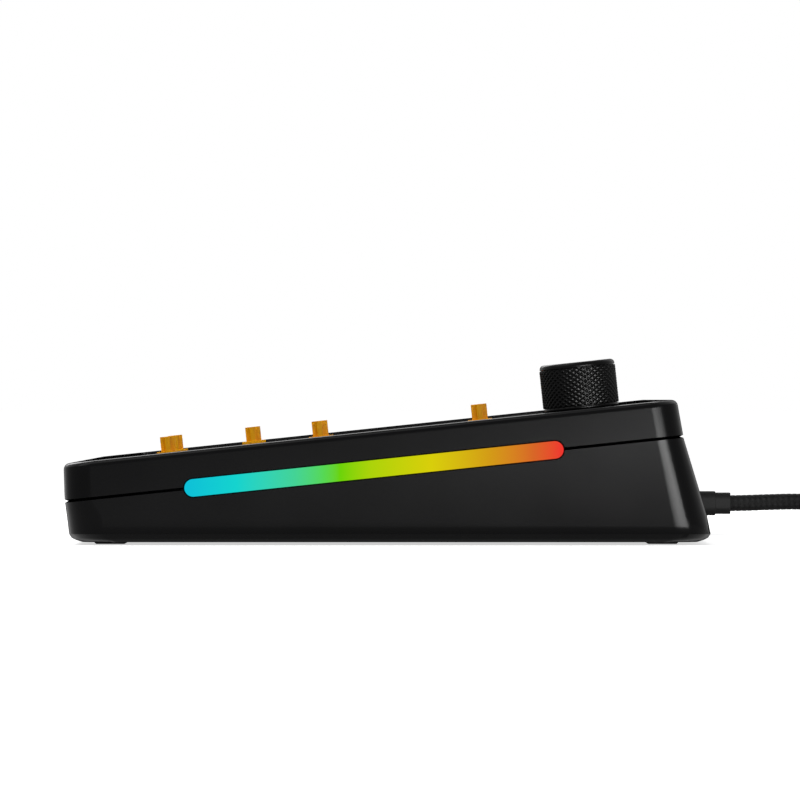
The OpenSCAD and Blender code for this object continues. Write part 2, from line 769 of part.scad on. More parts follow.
module circuit_board() color([0.05, 0.06, 0.07]) deck_sheet(board_bottom, board_top) difference() {
    polygon(centred_outline(field_w + 2 * board_margin, field_d + 2 * board_margin, inner_radius));
    for (p = key_places) translate(p) {
        circle(post_hole_r);
        for (side = [-1, 1]) translate([side * side_post_x, 0]) circle(side_post_hole_r, $fn = 24);
        for (pin = pin_places) translate(pin) circle(pin_hole_r, $fn = 24);
    }
    for (p = spacer_places) translate(p) circle(board_screw_hole_r, $fn = 24);
    for (p = stem_places) translate([p.x, p.y + housing_boss_y]) circle(board_screw_hole_r, $fn = 24);
}

module board_spacers() color([0.75, 0.65, 0.4]) for (p = spacer_places) difference() {
    on_deck(p.x, p.y, board_top) cylinder(h = plate_bottom - board_top, r = spacer_r);
    on_deck(p.x, p.y, board_top - over) cylinder(h = plate_to_board + over, r = small_screw_r + screw_fit);
}

// Small pan-head screw whose head sits at z and whose shank points up or down
module small_screw(z, shank, way) {
    translate([0, 0, way > 0 ? z : z - shank]) cylinder(h = shank, r = small_screw_r);
    translate([0, 0, way > 0 ? z - small_head_h : z]) cylinder(h = small_head_h, r = small_head_r);
}

module plate_screws() color([0.3, 0.3, 0.32]) for (p = spacer_places) on_deck(p.x, p.y) {
    small_screw(plate_top, plate_t + spacer_screw_bite, -1);
    small_screw(board_bottom, board_t + spacer_screw_bite, 1);
}

module switch_sockets() color([0.1, 0.1, 0.1]) deck_sheet(board_bottom - socket_h, board_bottom)
    for (p = key_places) translate(p) polygon([
        [socket_left, socket_low], [socket_step_x, socket_low],
        [socket_right, socket_low + socket_high - socket_step_y], [socket_right, socket_high],
        [socket_step_x, socket_high], [socket_left, socket_step_y]
    ]);

module key_leds() color([0.95, 0.95, 0.92]) deck_sheet(board_top, board_top + led_h)
    for (p = key_places) translate([p.x, p.y + led_y]) square([led_w, led_d], center = true);

module board_parts() color([0.12, 0.12, 0.12]) {
    deck_sheet(board_bottom - chip_h, board_bottom) {
        translate([chip_x, link_board_y]) square(chip_w, center = true);
        translate([chip_x + chip_w / 2 + crystal_gap + crystal_w / 2, link_board_y])
            square(crystal_w, center = true);
    }
    deck_sheet(board_bottom - link_plug_h, board_bottom)
        translate([port_x, link_board_y]) square([link_plug_w, link_plug_d], center = true);
}

foam_front_y = deck_point([0, -field_d / 2 - inner_margin, 0]).y + foam_wall_gap;
foam_back_y = deck_point([0, field_d / 2 + inner_margin, 0]).y;
module case_foam() color([0.2, 0.2, 0.21]) difference() {
    box_between(
        [-field_w / 2 - board_margin, foam_front_y, floor_top],
        [field_w / 2 + board_margin, foam_back_y, floor_top + case_foam_t]
    );
    box_between(
        [port_x - usb_board_w / 2 - usb_pocket_gap, usb_board_front - usb_pocket_gap, floor_top - over],
        [port_x + usb_board_w / 2 + usb_pocket_gap, case_back, floor_top + case_foam_t + over]
    );
}

module usb_board() color([0.05, 0.06, 0.07]) difference() {
    box_between(
        [port_x - usb_board_w / 2, usb_board_front, usb_board_top - usb_board_t],
        [port_x + usb_board_w / 2, usb_board_front + usb_board_d, usb_board_top]
    );
    usb_screw_places(usb_board_top - usb_board_t - over)
        cylinder(h = usb_board_t + 2 * over, r = board_screw_hole_r);
}

module usb_board_screws() color([0.3, 0.3, 0.32])
    usb_screw_places(0) small_screw(usb_board_top, usb_board_t + usb_screw_bite, -1);

usb_mouth_y = port_face_y - fit;

module usb_socket() color([0.8, 0.8, 0.82]) translate([port_x, 0, port_height]) {
    difference() {
        along_y(usb_mouth_y - usb_socket_l, usb_mouth_y) stadium(usb_socket_w, usb_socket_h);
        along_y(usb_mouth_y - usb_socket_l + usb_wall, usb_mouth_y + over)
            stadium(usb_socket_w - 2 * usb_wall, usb_socket_h - 2 * usb_wall);
    }
    along_y(usb_mouth_y - usb_socket_l, usb_mouth_y - usb_socket_l + usb_tongue_l)
        square([usb_tongue_w, usb_tongue_h], center = true);
}

link_end = deck_point([0, link_board_y, board_bottom - link_plug_h - fit]);
link_turn = deck_point([0, link_board_y, board_bottom - link_plug_h - fit - link_bend]);
link_start = [0, usb_board_front + link_plug_d, usb_board_top + link_plug_h - fit];
function bezier(a, b, c, d, t) =
    a * pow(1 - t, 3) + b * 3 * t * pow(1 - t, 2) + c * 3 * pow(t, 2) * (1 - t) + d * pow(t, 3);

// Ribbon that leaves both plugs square to their faces
module board_link_cable() color([0.85, 0.85, 0.8]) {
    route = [for (i = [0 : link_steps]) bezier(
        link_start, link_start + [0, 0, link_bend], link_turn, link_end, i / link_steps)];
    ways = concat(
        [[0, 0, 1]],
        [for (i = [1 : link_steps - 1]) route_step(route, i)],
        [direction(link_end - link_turn)]
    );
    loft([for (i = [0 : link_steps])
        let (thick = link_t / 2 * cross(ways[i], [1, 0, 0]))
        [for (corner = [[-1, -1], [1, -1], [1, 1], [-1, 1]])
            route[i] + [port_x + corner.x * link_w / 2, 0, 0] + corner.y * thick]
    ]);
    translate([port_x, link_start.y, usb_board_top])
        box_between([-link_plug_w / 2, -link_plug_d / 2, 0], [link_plug_w / 2, link_plug_d / 2, link_plug_h]);
}

module encoder_body() color([0.7, 0.7, 0.72]) on_knob() difference() {
    union() {
        translate([0, 0, board_top]) linear_extrude(encoder_h) square(encoder_w, center = true);
        translate([0, 0, board_top]) cylinder(h = encoder_h + neck_h, r = neck_r);
    }
    translate([0, 0, board_top + encoder_wall])
        cylinder(h = encoder_h - 2 * encoder_wall, r = rotor_r + 2 * rotor_gap);
    translate([0, 0, board_top + encoder_wall]) cylinder(h = encoder_h + neck_h, r = shaft_r + shaft_run_fit);
}

module encoder_rotor() color([0.85, 0.85, 0.8]) on_knob(board_top + rotor_lift) difference() {
    cylinder(h = rotor_t, r = rotor_r);
    translate([0, 0, -over]) cylinder(h = rotor_t + 2 * over, r = shaft_r + shaft_run_fit);
}

module encoder_shaft() color([0.75, 0.75, 0.77]) on_knob(board_top + encoder_wall + shaft_foot)
    cylinder(h = shaft_top - board_top - encoder_wall - shaft_foot, r = shaft_r);

// Band of diamond pyramids between two levels
module knurl(z0, z1) {
    columns = 2 * knurl_around;
    rows = 2 * knurl_rows;
    valley = knob_r - knurl_depth;
    function is_peak(i, j) = (i + j) % 2 == 1 && i > 0 && i < rows;
    loft_points = [for (i = [0 : rows]) for (j = [0 : columns - 1])
        let (r = is_peak(i, j) ? knob_r : valley, a = turn * j / columns)
        [r * cos(a), r * sin(a), z0 + (z1 - z0) * i / rows]];
    function at(i, j) = i * columns + j % columns;
    polyhedron(
        points = loft_points,
        faces = concat(
            [[for (j = [0 : columns - 1]) j]],
            [[for (j = [columns - 1 : -1 : 0]) at(rows, j)]],
            [for (i = [0 : rows - 1]) for (j = [0 : columns - 1])
                (i + j) % 2 == 0
                    ? [at(i, j), at(i + 1, j), at(i + 1, j + 1)]
                    : [at(i, j), at(i + 1, j), at(i, j + 1)]],
            [for (i = [0 : rows - 1]) for (j = [0 : columns - 1])
                (i + j) % 2 == 0
                    ? [at(i, j), at(i + 1, j + 1), at(i, j + 1)]
                    : [at(i, j + 1), at(i + 1, j), at(i + 1, j + 1)]]
        )
    );
}

module knob() color([0.1, 0.1, 0.1]) on_knob() difference() {
    union() {
        rotate_extrude() polygon([
            [0, knob_bottom],
            [knob_r - knob_rim - knob_foot_chamfer, knob_bottom],
            [knob_r - knob_rim, knob_bottom + knob_foot_chamfer],
            [knob_r - knob_rim, knob_bottom + knob_foot_h],
            [knob_r - knurl_depth - knob_rim, knob_bottom + knob_foot_h],
            [knob_r - knurl_depth - knob_rim, knob_top - knob_crown_h],
            [knob_r - knob_rim, knob_top - knob_crown_h],
            [knob_r - knob_rim, knob_top - knob_chamfer],
            [knob_r - knob_rim - knob_chamfer, knob_top],
            [0, knob_top]
        ]);
        knurl(knob_bottom + knob_foot_h - knurl_lap, knob_top - knob_crown_h + knurl_lap);
    }
    translate([0, 0, knob_bottom - over])
        cylinder(h = shaft_top - knob_bottom + over + fit, r = shaft_r + knob_bore_fit);
    set_screw_along(knob_r + over, screw_fit);
}

module set_screw_along(reach, grow) {
    translate([0, 0, knob_bottom + set_screw_z]) rotate([-quarter, 0, 0])
        translate([0, 0, shaft_r]) cylinder(h = reach - shaft_r, r = set_screw_r + grow);
}

module knob_set_screw() color([0.3, 0.3, 0.32]) on_knob() set_screw_along(knob_r - set_screw_sink, 0);

module at_stem(key, side) {
    on_deck(key.x + side * key.z, key.y, plate_top) children();
}

// Housing of one stem: its clip stands on the side on which the wire's bar lies
module housing(key, side) at_stem(key, side) mirror([side > 0 ? 1 : 0, 0, 0]) difference() {
    union() {
        half_w = stem_half_w + fit + housing_wall;
        along_x(-half_w, half_w) polygon([
            [housing_front, -plate_to_board], [housing_back, -plate_to_board],
            [housing_back, housing_step_z - housing_chamfer], [housing_back - housing_chamfer, housing_step_z],
            [housing_tower, housing_step_z], [housing_tower, housing_top - housing_chamfer],
            [housing_tower - housing_chamfer, housing_top], [housing_chamfer - housing_tower, housing_top],
            [-housing_tower, housing_top - housing_chamfer], [-housing_tower, housing_step_z],
            [housing_front + housing_chamfer, housing_step_z], [housing_front, housing_step_z - housing_chamfer]
        ]);
        // Boss for the screw behind, and the clip that carries the wire's bar in front
        translate([0, housing_boss_y, -plate_to_board]) cylinder(h = housing_boss_h, r = housing_boss_r);
        box_between([-housing_boss_r, housing_back - over, -plate_to_board],
            [housing_boss_r, housing_boss_y, housing_boss_h - plate_to_board]);
        box_between([wire_bend + clip_fit, clip_front, clip_foot],
            [half_w, housing_front + over, clip_top]);
    }
    box_between([-stem_half_w - fit, -stem_half_d - fit, -plate_to_board - over],
        [stem_half_w + fit, stem_half_d + fit, housing_top + over]);
    box_between([-wire_r - wire_side_slack, housing_front - over, -plate_to_board - over],
        [wire_r + wire_side_slack, 0, arm_slot_top]);
    translate([-stem_half_w - over, bar_y, bar_z]) rotate([0, quarter, 0])
        cylinder(h = 2 * (stem_half_w + housing_wall + over), r = wire_r + clip_fit);
    translate([0, housing_boss_y, -plate_to_board - over])
        cylinder(h = housing_screw_bite + over, r = small_screw_r + screw_fit);
}

module housings(key) color([0.09, 0.09, 0.1]) for (side = [-1, 1]) housing(key, side);

module stem(key, side) color([0.75, 0.55, 0.12]) at_stem(key, side) {
    difference() {
        box_between([-stem_half_w, -stem_half_d, stem_bottom], [stem_half_w, stem_half_d, plate_drop]);
        // Window for the wire's arm, which fans out towards the bar
        translate([0, 0, hook_high]) along_x(-wire_r - wire_side_slack, wire_r + wire_side_slack) polygon([
            [tip_back + window_end_gap, -window_half_h],
            [tip_back + window_end_gap, window_half_h],
            [-stem_half_d - over, window_half_h + (tip_back + stem_half_d + over) * sin(arm_down)],
            [-stem_half_d - over, -window_half_h - (stem_half_d + over) * tan(arm_up)],
            [window_end_gap, -window_half_h]
        ]);
    }
    for (arm = [[cross_w, cross_t], [cross_t, cross_d]])
        box_between([-arm.x / 2, -arm.y / 2, plate_drop - over], [arm.x / 2, arm.y / 2, plate_drop + cross_h]);
}

// Bent wire: a bar with a round corner and an arm at each end, drawn with the stems up
module wire(key) color([0.75, 0.75, 0.77])
    on_deck(key.x, key.y + bar_y, plate_top + bar_z) rotate([arm_up, 0, 0]) {
        straight = key.z - wire_bend;
        translate([-straight, 0, 0]) rotate([0, quarter, 0]) cylinder(h = 2 * straight, r = wire_r);
        for (side = [-1, 1]) {
            translate([side * key.z, wire_bend, 0]) rotate([-quarter, 0, 0])
                cylinder(h = wire_arm - wire_bend, r = wire_r);
            translate([side * straight, wire_bend, 0]) rotate([0, 0, side > 0 ? -quarter : turn / 2])
                rotate_extrude(angle = quarter) translate([wire_bend, 0]) circle(wire_r, $fn = 24);
        }
    }

module stabiliser_screws() color([0.75, 0.75, 0.77]) for (p = stem_places)
    on_deck(p.x, p.y + housing_boss_y) small_screw(board_bottom, board_t + housing_screw_bite - fit, 1);

boot_face_y = port_face_y + boot_gap;

module usb_c_plug() color([0.75, 0.75, 0.77]) translate([port_x, 0, port_height]) difference() {
    along_y(boot_face_y - plug_shell_l, boot_face_y) stadium(plug_shell_w, plug_shell_h);
    along_y(boot_face_y - plug_shell_l - over, boot_face_y - plug_root_t)
        stadium(plug_shell_w - 2 * plug_shell_wall, plug_shell_h - 2 * plug_shell_wall);
}

module usb_c_boot() color([0.2, 0.2, 0.2]) translate([port_x, 0, port_height]) {
    along_y(boot_face_y, boot_face_y + boot_l) polygon(centred_outline(boot_w, boot_h, boot_radius));
    along_y(boot_face_y, lead_points[0].y)
        polygon(centred_outline(boot_w - 2 * boot_step, boot_h - 2 * boot_step, boot_radius - boot_step));
}

module cable_lead() color([0.13, 0.13, 0.13]) loft(tube_rings(lead_points, cable_d / 2, cable_sides));

module cable_tail() color([0.13, 0.13, 0.13]) loft(tube_rings(tail_route, cable_d / 2, cable_sides));

// Height of the coil in layers after so many turns: it climbs in the half turn where the spiral reverses
function coil_climb(t, k = 1) = k >= coil_layers ? 0
    : min(1, max(0, (t - k * layer_turns) * 2 + 0.5)) + coil_climb(t, k + 1);
function coil_radius(t) =
    let (k = min(floor(t / layer_turns), coil_layers - 1), part = t / layer_turns - k)
    k % 2 == 0
        ? coil_outer_r - coil_pitch * layer_turns * part
        : coil_inner_r + coil_pitch * layer_turns * part;
function coil_point(t) = [
    coil_centre.x - coil_radius(t) * cos(turn * t),
    coil_centre.y + coil_radius(t) * sin(turn * t),
    coil_z + coil_pitch * coil_climb(t)
];
coil_last = coil_point(coil_turns);
coil_points = concat(
    [lead_points[len(lead_points) - 1]],
    [for (i = [0 : coil_turns * coil_steps]) coil_point(i / coil_steps)],
    [coil_last + [cable_d, 0, 0]]
);
tail_route = concat([coil_last + [cable_d, 0, 0]], tail_points);
coil_least_gap = min([
    for (i = [0 : len(coil_points) - 1]) for (j = [i + coil_steps / 2 : 1 : len(coil_points) - 1])
        norm(coil_points[i] - coil_points[j])
]) - cable_d;
function route_length(points, i = 1) = i >= len(points) ? 0
    : norm(points[i] - points[i - 1]) + route_length(points, i + 1);
echo(least_gap_between_turns = coil_least_gap);
echo(cable_length = route_length(lead_points) + route_length(coil_points) + route_length(tail_route));

module cable_coil() color([0.13, 0.13, 0.13]) loft(tube_rings(coil_points, cable_d / 2, coil_sides));

// Strap that goes round all turns of the coil at one place
module cable_tie() color([0.1, 0.1, 0.1]) {
    low = tie_floor_gap;
    high = coil_z + (coil_layers - 1) * coil_pitch + cable_d / 2 + tie_gap + tie_t;
    wide = coil_outer_r - coil_inner_r + cable_d + 2 * (tie_gap + tie_t);
    translate([coil_centre.x, coil_centre.y, (low + high) / 2]) rotate([0, 0, tie_angle])
        translate([coil_mean_r, 0, 0]) along_y(-tie_w / 2, tie_w / 2) difference() {
            polygon(centred_outline(wide, high - low, cable_d / 2));
            polygon(centred_outline(wide - 2 * tie_t, high - low - 2 * tie_t, cable_d / 2 - tie_t));
        }
}

a_plug_start = tail_points[len(tail_points) - 1];

module usb_a_boot() color([0.2, 0.2, 0.2]) translate([a_plug_start.x, a_plug_start.y, a_boot_h / 2]) {
    along_x(0, a_boot_neck_l)
        polygon(centred_outline(a_boot_neck_w, a_boot_h - 2 * boot_step, a_boot_radius));
    along_x(a_boot_neck_l, a_boot_l) polygon(centred_outline(a_boot_w, a_boot_h, a_boot_radius));
}

module usb_a_plug() color([0.8, 0.8, 0.82])
    translate([a_plug_start.x + a_boot_l, a_plug_start.y, a_boot_h / 2]) {
        inner_w = a_shell_w - 2 * a_shell_wall;
        inner_h = a_shell_h - 2 * a_shell_wall;
        difference() {
            along_x(0, a_shell_l) square([a_shell_w, a_shell_h], center = true);
            along_x(plug_root_t, a_shell_l + over) square([inner_w, inner_h], center = true);
        }
        box_between(
            [0, -inner_w / 2, -inner_h / 2],
            [a_shell_l - a_block_back, inner_w / 2, a_block_h - inner_h / 2]
        );
    }

bottom_case();
top_case();
case_screws();
front_feet();
rear_feet();
light_bar(1);  // light_bar_right
light_bar(-1);  // light_bar_left
light_strip(1);  // light_strip_right
light_strip(-1);  // light_strip_left
switch_plate();
gasket_pads();
plate_foam();
circuit_board();
board_spacers();
plate_screws();
switch_sockets();
key_leds();
board_parts();
case_foam();
usb_board();
usb_board_screws();
usb_socket();
board_link_cable();
encoder_body();
encoder_rotor();
encoder_shaft();
knob();
knob_set_screw();
housings(space_key);  // space_housings
housings(left_shift_key);  // left_shift_housings
housings(enter_key);  // enter_housings
housings(backspace_key);  // backspace_housings
stem(space_key, -1);  // space_stem_left
stem(space_key, 1);  // space_stem_right
stem(left_shift_key, -1);  // left_shift_stem_left
stem(left_shift_key, 1);  // left_shift_stem_right
stem(enter_key, -1);  // enter_stem_left
stem(enter_key, 1);  // enter_stem_right
stem(backspace_key, -1);  // backspace_stem_left
stem(backspace_key, 1);  // backspace_stem_right
wire(space_key);  // space_wire
wire(left_shift_key);  // left_shift_wire
wire(enter_key);  // enter_wire
wire(backspace_key);  // backspace_wire
stabiliser_screws();
usb_c_plug();
usb_c_boot();
cable_lead();
cable_coil();
cable_tail();
cable_tie();
usb_a_plug();
usb_a_boot();
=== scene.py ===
"""Looks of a barebone keyboard kit: case, switch plate, board, stabilisers, knob, light bars and cable."""
import json
import logging
import math
from collections.abc import Sequence
from dataclasses import dataclass
from enum import Enum

import bpy
import numpy as np
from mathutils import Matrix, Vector


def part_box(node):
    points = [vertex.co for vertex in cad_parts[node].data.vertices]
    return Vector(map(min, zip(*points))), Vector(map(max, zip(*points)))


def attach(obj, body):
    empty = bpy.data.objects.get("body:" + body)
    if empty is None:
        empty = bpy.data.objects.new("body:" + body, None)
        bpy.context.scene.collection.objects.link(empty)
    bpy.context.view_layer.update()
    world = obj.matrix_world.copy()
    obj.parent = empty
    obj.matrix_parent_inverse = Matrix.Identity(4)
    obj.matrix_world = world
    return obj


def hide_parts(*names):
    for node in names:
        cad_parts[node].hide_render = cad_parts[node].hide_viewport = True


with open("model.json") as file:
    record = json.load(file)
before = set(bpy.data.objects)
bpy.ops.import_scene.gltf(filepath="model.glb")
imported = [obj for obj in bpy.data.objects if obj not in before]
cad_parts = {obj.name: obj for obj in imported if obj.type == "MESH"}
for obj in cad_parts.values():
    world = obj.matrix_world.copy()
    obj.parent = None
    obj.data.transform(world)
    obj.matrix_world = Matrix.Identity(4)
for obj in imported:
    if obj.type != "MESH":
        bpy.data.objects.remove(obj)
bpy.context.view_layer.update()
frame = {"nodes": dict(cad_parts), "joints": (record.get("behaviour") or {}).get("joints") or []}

log = logging.getLogger("keyboard_kit")

MM = 0.001
NOISE_CORE = (0.35, 0.65)  # the span that most values of a noise fall in
NOISE_BODY = (0.3, 0.7)    # the span that nearly all of them fall in

Colour = tuple[float, float, float]
Point = tuple[float, float, float]


def linear(red: float, green: float, blue: float) -> Colour:
    """Turn display values from 0 to 255 into a linear colour.

    Args:
        red: Display value of red.
        green: Display value of green.
        blue: Display value of blue.

    Returns:
        The same colour as a shader wants it.
    """
    def one(value: float) -> float:
        """Return one linear channel."""
        share = value / 255
        return share / 12.92 if share <= 0.04045 else ((share + 0.055) / 1.055) ** 2.4
    return one(red), one(green), one(blue)


class Signal:
    """A value, vector or colour on its way through a node tree."""

    def __init__(self, recipe: "Recipe", socket: bpy.types.NodeSocket) -> None:
        """Wrap an output socket of a recipe's node."""
        self.recipe = recipe
        self.socket = socket

    def _join(self, operation: str, first: object, second: object) -> "Signal":
        """Add the node that combines two values, by the kind of this signal.

        Args:
            operation: Name of the operation, such as ADD.
            first: Left operand.
            second: Right operand.

        Returns:
            The result.
        """
        if self.socket.type == "VALUE":
            return self.recipe.node("ShaderNodeMath", {"operation": operation}, {0: first, 1: second})
        if self.socket.type == "VECTOR":
            return self.recipe.node("ShaderNodeVectorMath", {"operation": operation}, {0: first, 1: second})
        settings = {"data_type": "RGBA", "blend_type": operation}
        return self.recipe.node("ShaderNodeMix", settings, {0: 1.0, 6: first, 7: second}, 2)

    def __add__(self, other: object) -> "Signal":
        """Return the sum."""
        return self._join("ADD", self, other)

    __radd__ = __add__

    def __mul__(self, other: object) -> "Signal":
        """Return the product."""
        return self._join("MULTIPLY", self, other)

    __rmul__ = __mul__

    def __gt__(self, other: object) -> "Signal":
        """Return 1 where this value is the greater one, else 0."""
        return self._join("GREATER_THAN", self, other)

    def within(self, low: float, high: float) -> "Signal":
        """Rescale this value so that low becomes 0 and high becomes 1, and clamp it."""
        return self.recipe.node("ShaderNodeMapRange", {"clamp": True}, {0: self, 1: low, 2: high})

    def blend(self, low: Colour, high: Colour) -> "Signal":
        """Return the colour between two by this value."""
        return self.recipe.node("ShaderNodeMix", {"data_type": "RGBA"}, {0: self, 6: low, 7: high}, 2)

    def axis(self, index: int) -> "Signal":
        """Return one part of a vector."""
        return self.recipe.node("ShaderNodeSeparateXYZ", {}, {0: self}, index)


class Recipe:
    """The node tree of one material, open for building."""

    # Facing span and colour of the painted dark reflection that replaces the gloss along the rim seen edge
    # on.
    PAINTED_DARK_RIM_SPAN = (0.72, 0.93)
    PAINTED_DARK_RIM_COLOUR = (0.002, 0.002, 0.002)

    def __init__(self, name: str) -> None:
        """Start an empty material."""
        self.material = bpy.data.materials.new(name)
        self.material.use_nodes = True
        self.tree = self.material.node_tree
        self.tree.nodes.clear()
        self.output = self.tree.nodes.new("ShaderNodeOutputMaterial")

    def node(self, kind: str, settings: dict, inputs: dict, output: int | str = 0) -> Signal:
        """Add any node.

        Args:
            kind: Type of the node.
            settings: Properties that are set first; "stops" holds a ramp's places and colours.
            inputs: Values or signals by the name or number of the input.
            output: Name or number of the output that is wanted.

        Returns:
            That output.
        """
        made = self.tree.nodes.new(kind)
        for name, value in settings.items():
            if name == "stops":
                self._set_stops(made.color_ramp, value)
            else:
                setattr(made, name, value)
        for name, value in inputs.items():
            self.feed(made.inputs[name], value)
        return Signal(self, made.outputs[output])

    def feed(self, socket: bpy.types.NodeSocket, value: object) -> None:
        """Give an input its value or its link."""
        if isinstance(value, Signal):
            self.tree.links.new(value.socket, socket)
        elif isinstance(value, tuple) and socket.type == "RGBA":
            socket.default_value = (*value[:3], 1.0)
        else:
            socket.default_value = value

    @staticmethod
    def _set_stops(ramp: bpy.types.ColorRamp, stops: Sequence[tuple[float, Colour]]) -> None:
        """Replace a ramp's stops."""
        while len(ramp.elements) > 1:
            ramp.elements.remove(ramp.elements[-1])
        ramp.elements[0].position = stops[0][0]
        ramp.elements[0].color = (*stops[0][1], 1.0)
        for place, colour in stops[1:]:
            ramp.elements.new(place).color = (*colour, 1.0)

    def place(self) -> Signal:
        """Return the point in the part's own frame."""
        return self.node("ShaderNodeTexCoord", {}, {}, "Object")

    def noise(self, size: float, stretch: Point = (1, 1, 1), detail: float = 3.0) -> Signal:
        """Return cloudy values from 0 to 1.

        Args:
            size: Size of a patch in metres.
            stretch: How many times longer a patch is along each axis.
            detail: Number of finer layers.

        Returns:
            The values.
        """
        scale = tuple(1 / (size * longer) for longer in stretch)
        settings = {"noise_dimensions": "3D"}
        inputs = {"Vector": self.place() * scale, "Scale": 1.0, "Detail": detail}
        return self.node("ShaderNodeTexNoise", settings, inputs)

    def bump(self, height: Signal, depth: float, strength: float = 1.0) -> Signal:
        """Return the normal of a surface that a height from 0 to 1 raises by a depth in metres."""
        return self.node("ShaderNodeBump", {}, {"Strength": strength, "Distance": depth, "Height": height})

    def finish(self, inputs: dict, painted_dark_rim: bool = False) -> bpy.types.Material:
        """Close the tree with the principled surface.

        Args:
            inputs: Its inputs by name.
            painted_dark_rim: Whether a dark diffuse colour is painted over the surface where it is seen
                almost edge on, a painted dark reflection in place of its gloss.

        Returns:
            The material.
        """
        surface = self.node("ShaderNodeBsdfPrincipled", {}, inputs)
        # Painted dark reflection: where the surface is seen edge on, a dark diffuse colour replaces its
        # gloss.
        if painted_dark_rim:
            facing = self.node("ShaderNodeLayerWeight", {}, {"Blend": 0.5}, "Facing")
            dark_reflection_paint = self.node("ShaderNodeBsdfDiffuse", {}, {"Color": self.PAINTED_DARK_RIM_COLOUR})
            layers = {0: facing.within(*self.PAINTED_DARK_RIM_SPAN), 1: surface, 2: dark_reflection_paint}
            surface = self.node("ShaderNodeMixShader", {}, layers)
        self.tree.links.new(surface.socket, self.output.inputs["Surface"])
        return self.material


@dataclass(frozen=True)
class Coating:
    """A matte or satin finish with a fine grain and slow changes of tone; some also get a painted dark
    reflection along the rim seen edge on.
    """

    name: str
    colour: Colour
    worn: Colour
    roughness: float
    grain: float
    depth: float
    rough_spread: float = 0.08
    cloud: float = 18 * MM
    ior: float = 1.45
    metallic: float = 0.0
    sheen: float = 0.0
    stretch: Point = (1, 1, 1)
    # Whether a dark diffuse colour is painted over the rim seen edge on: a painted dark reflection.
    painted_dark_rim: bool = False

    def build(self) -> bpy.types.Material:
        """Return the material."""
        recipe = Recipe(self.name)
        grain = recipe.noise(self.grain, self.stretch)
        cloud = recipe.noise(self.cloud, self.stretch, 2.0)
        least_rough = self.roughness - self.rough_spread / 2
        return recipe.finish({
            "Base Color": (grain * 0.5 + cloud * 0.5).within(*NOISE_CORE).blend(self.colour, self.worn),
            "Roughness": cloud.within(*NOISE_BODY) * self.rough_spread + least_rough,
            "Normal": recipe.bump(grain, self.depth),
            "Metallic": self.metallic,
            "IOR": self.ior,
            "Sheen Weight": self.sheen,
        }, self.painted_dark_rim)


@dataclass(frozen=True)
class LightGuide:
    """Frosted bar lit from behind in a run of colours from front to rear; only its face glows."""

    name: str
    front: float
    rear: float
    face: float
    stops: tuple[tuple[float, Colour], ...]
    glow_depth: float = 0.5 * MM
    glow: float = 0.97
    unlit_share: float = 0.04

    def build(self) -> bpy.types.Material:
        """Return the material."""
        recipe = Recipe(self.name)
        share = recipe.place().axis(1).within(self.front, self.rear)
        colour = recipe.node("ShaderNodeValToRGB", {"stops": self.stops}, {0: share})
        reach = recipe.node("ShaderNodeMath", {"operation": "ABSOLUTE"}, {0: recipe.place().axis(0)})
        frost = recipe.noise(0.25 * MM)
        return recipe.finish({
            "Base Color": colour * ((self.unlit_share,) * 3),
            "Emission Color": colour * (reach > self.face - self.glow_depth),
            "Emission Strength": self.glow,
            "Roughness": 0.45,
            "IOR": 1.03,
            "Normal": recipe.bump(frost, 0.01 * MM),
        })


@dataclass(frozen=True)
class Resin:
    """Moulded plastic in two close shades that light may enter a little."""

    name: str
    colour: Colour
    deep: Colour
    roughness: float
    subsurface: float
    radius: float
    ior: float = 1.5
    rough_spread: float = 0.04

    def build(self) -> bpy.types.Material:
        """Return the material."""
        recipe = Recipe(self.name)
        flow = recipe.noise(1.6 * MM)
        fine = recipe.noise(0.15 * MM)
        return recipe.finish({
            "Base Color": flow.within(*NOISE_BODY).blend(self.colour, self.deep),
            "Roughness": flow * self.rough_spread + (self.roughness - self.rough_spread / 2),
            "Normal": recipe.bump(fine, 0.001 * MM),
            "Subsurface Weight": self.subsurface,
            "Subsurface Radius": (1.0, 0.5, 0.15),
            "Subsurface Scale": self.radius,
            "IOR": self.ior,
        })


@dataclass(frozen=True)
class SolderMask:
    """Dark circuit board with conductors that show faintly under its lacquer."""

    name: str
    colour: Colour
    track: Colour

    def build(self) -> bpy.types.Material:
        """Return the material."""
        recipe = Recipe(self.name)
        settings = {"offset": 0.5, "squash": 1.0}
        inputs = {
            "Vector": recipe.place(), "Scale": 1.0, "Brick Width": 9 * MM, "Row Height": 1.3 * MM,
            "Mortar Size": 0.16 * MM, "Mortar Smooth": 0.2,
        }
        tracks = recipe.node("ShaderNodeTexBrick", settings, inputs, "Fac")
        fine = recipe.noise(0.4 * MM)
        return recipe.finish({
            "Base Color": tracks.blend(self.colour, self.track),
            "Roughness": fine * 0.15 + 0.25,
            "Normal": recipe.bump(tracks, 0.03 * MM),
            "IOR": 1.5,
        })


@dataclass(frozen=True)
class WovenSleeve:
    """Yarns of a braided cable or strap: fine threads, with a painted highlight laid on the crown of each
    yarn that the mesh's attribute gives.
    """

    name: str
    colour: Colour
    fibre: Colour
    thread: float

    def build(self) -> bpy.types.Material:
        """Return the material."""
        recipe = Recipe(self.name)
        threads = recipe.noise(self.thread, (1, 1, 1), 5.0)
        fuzz = recipe.noise(self.thread * 4, (1, 1, 1), 2.0)
        crown = recipe.node("ShaderNodeAttribute", {"attribute_name": "crown"}, {}, "Fac")
        # Random thread tone, plus a painted highlight that lightens the crown of each yarn on top.
        shade = (threads * fuzz * 2).within(0.3, 0.75) * 0.4 + crown * (0.3 + threads * 0.6)
        return recipe.finish({
            "Base Color": shade.blend(self.colour, self.fibre),
            "Roughness": threads * 0.2 + 0.65,
            "Normal": recipe.bump(threads, self.thread * 0.4),
            "Sheen Weight": 0.03,
            "Sheen Roughness": 0.5,
            "IOR": 1.12,
        })


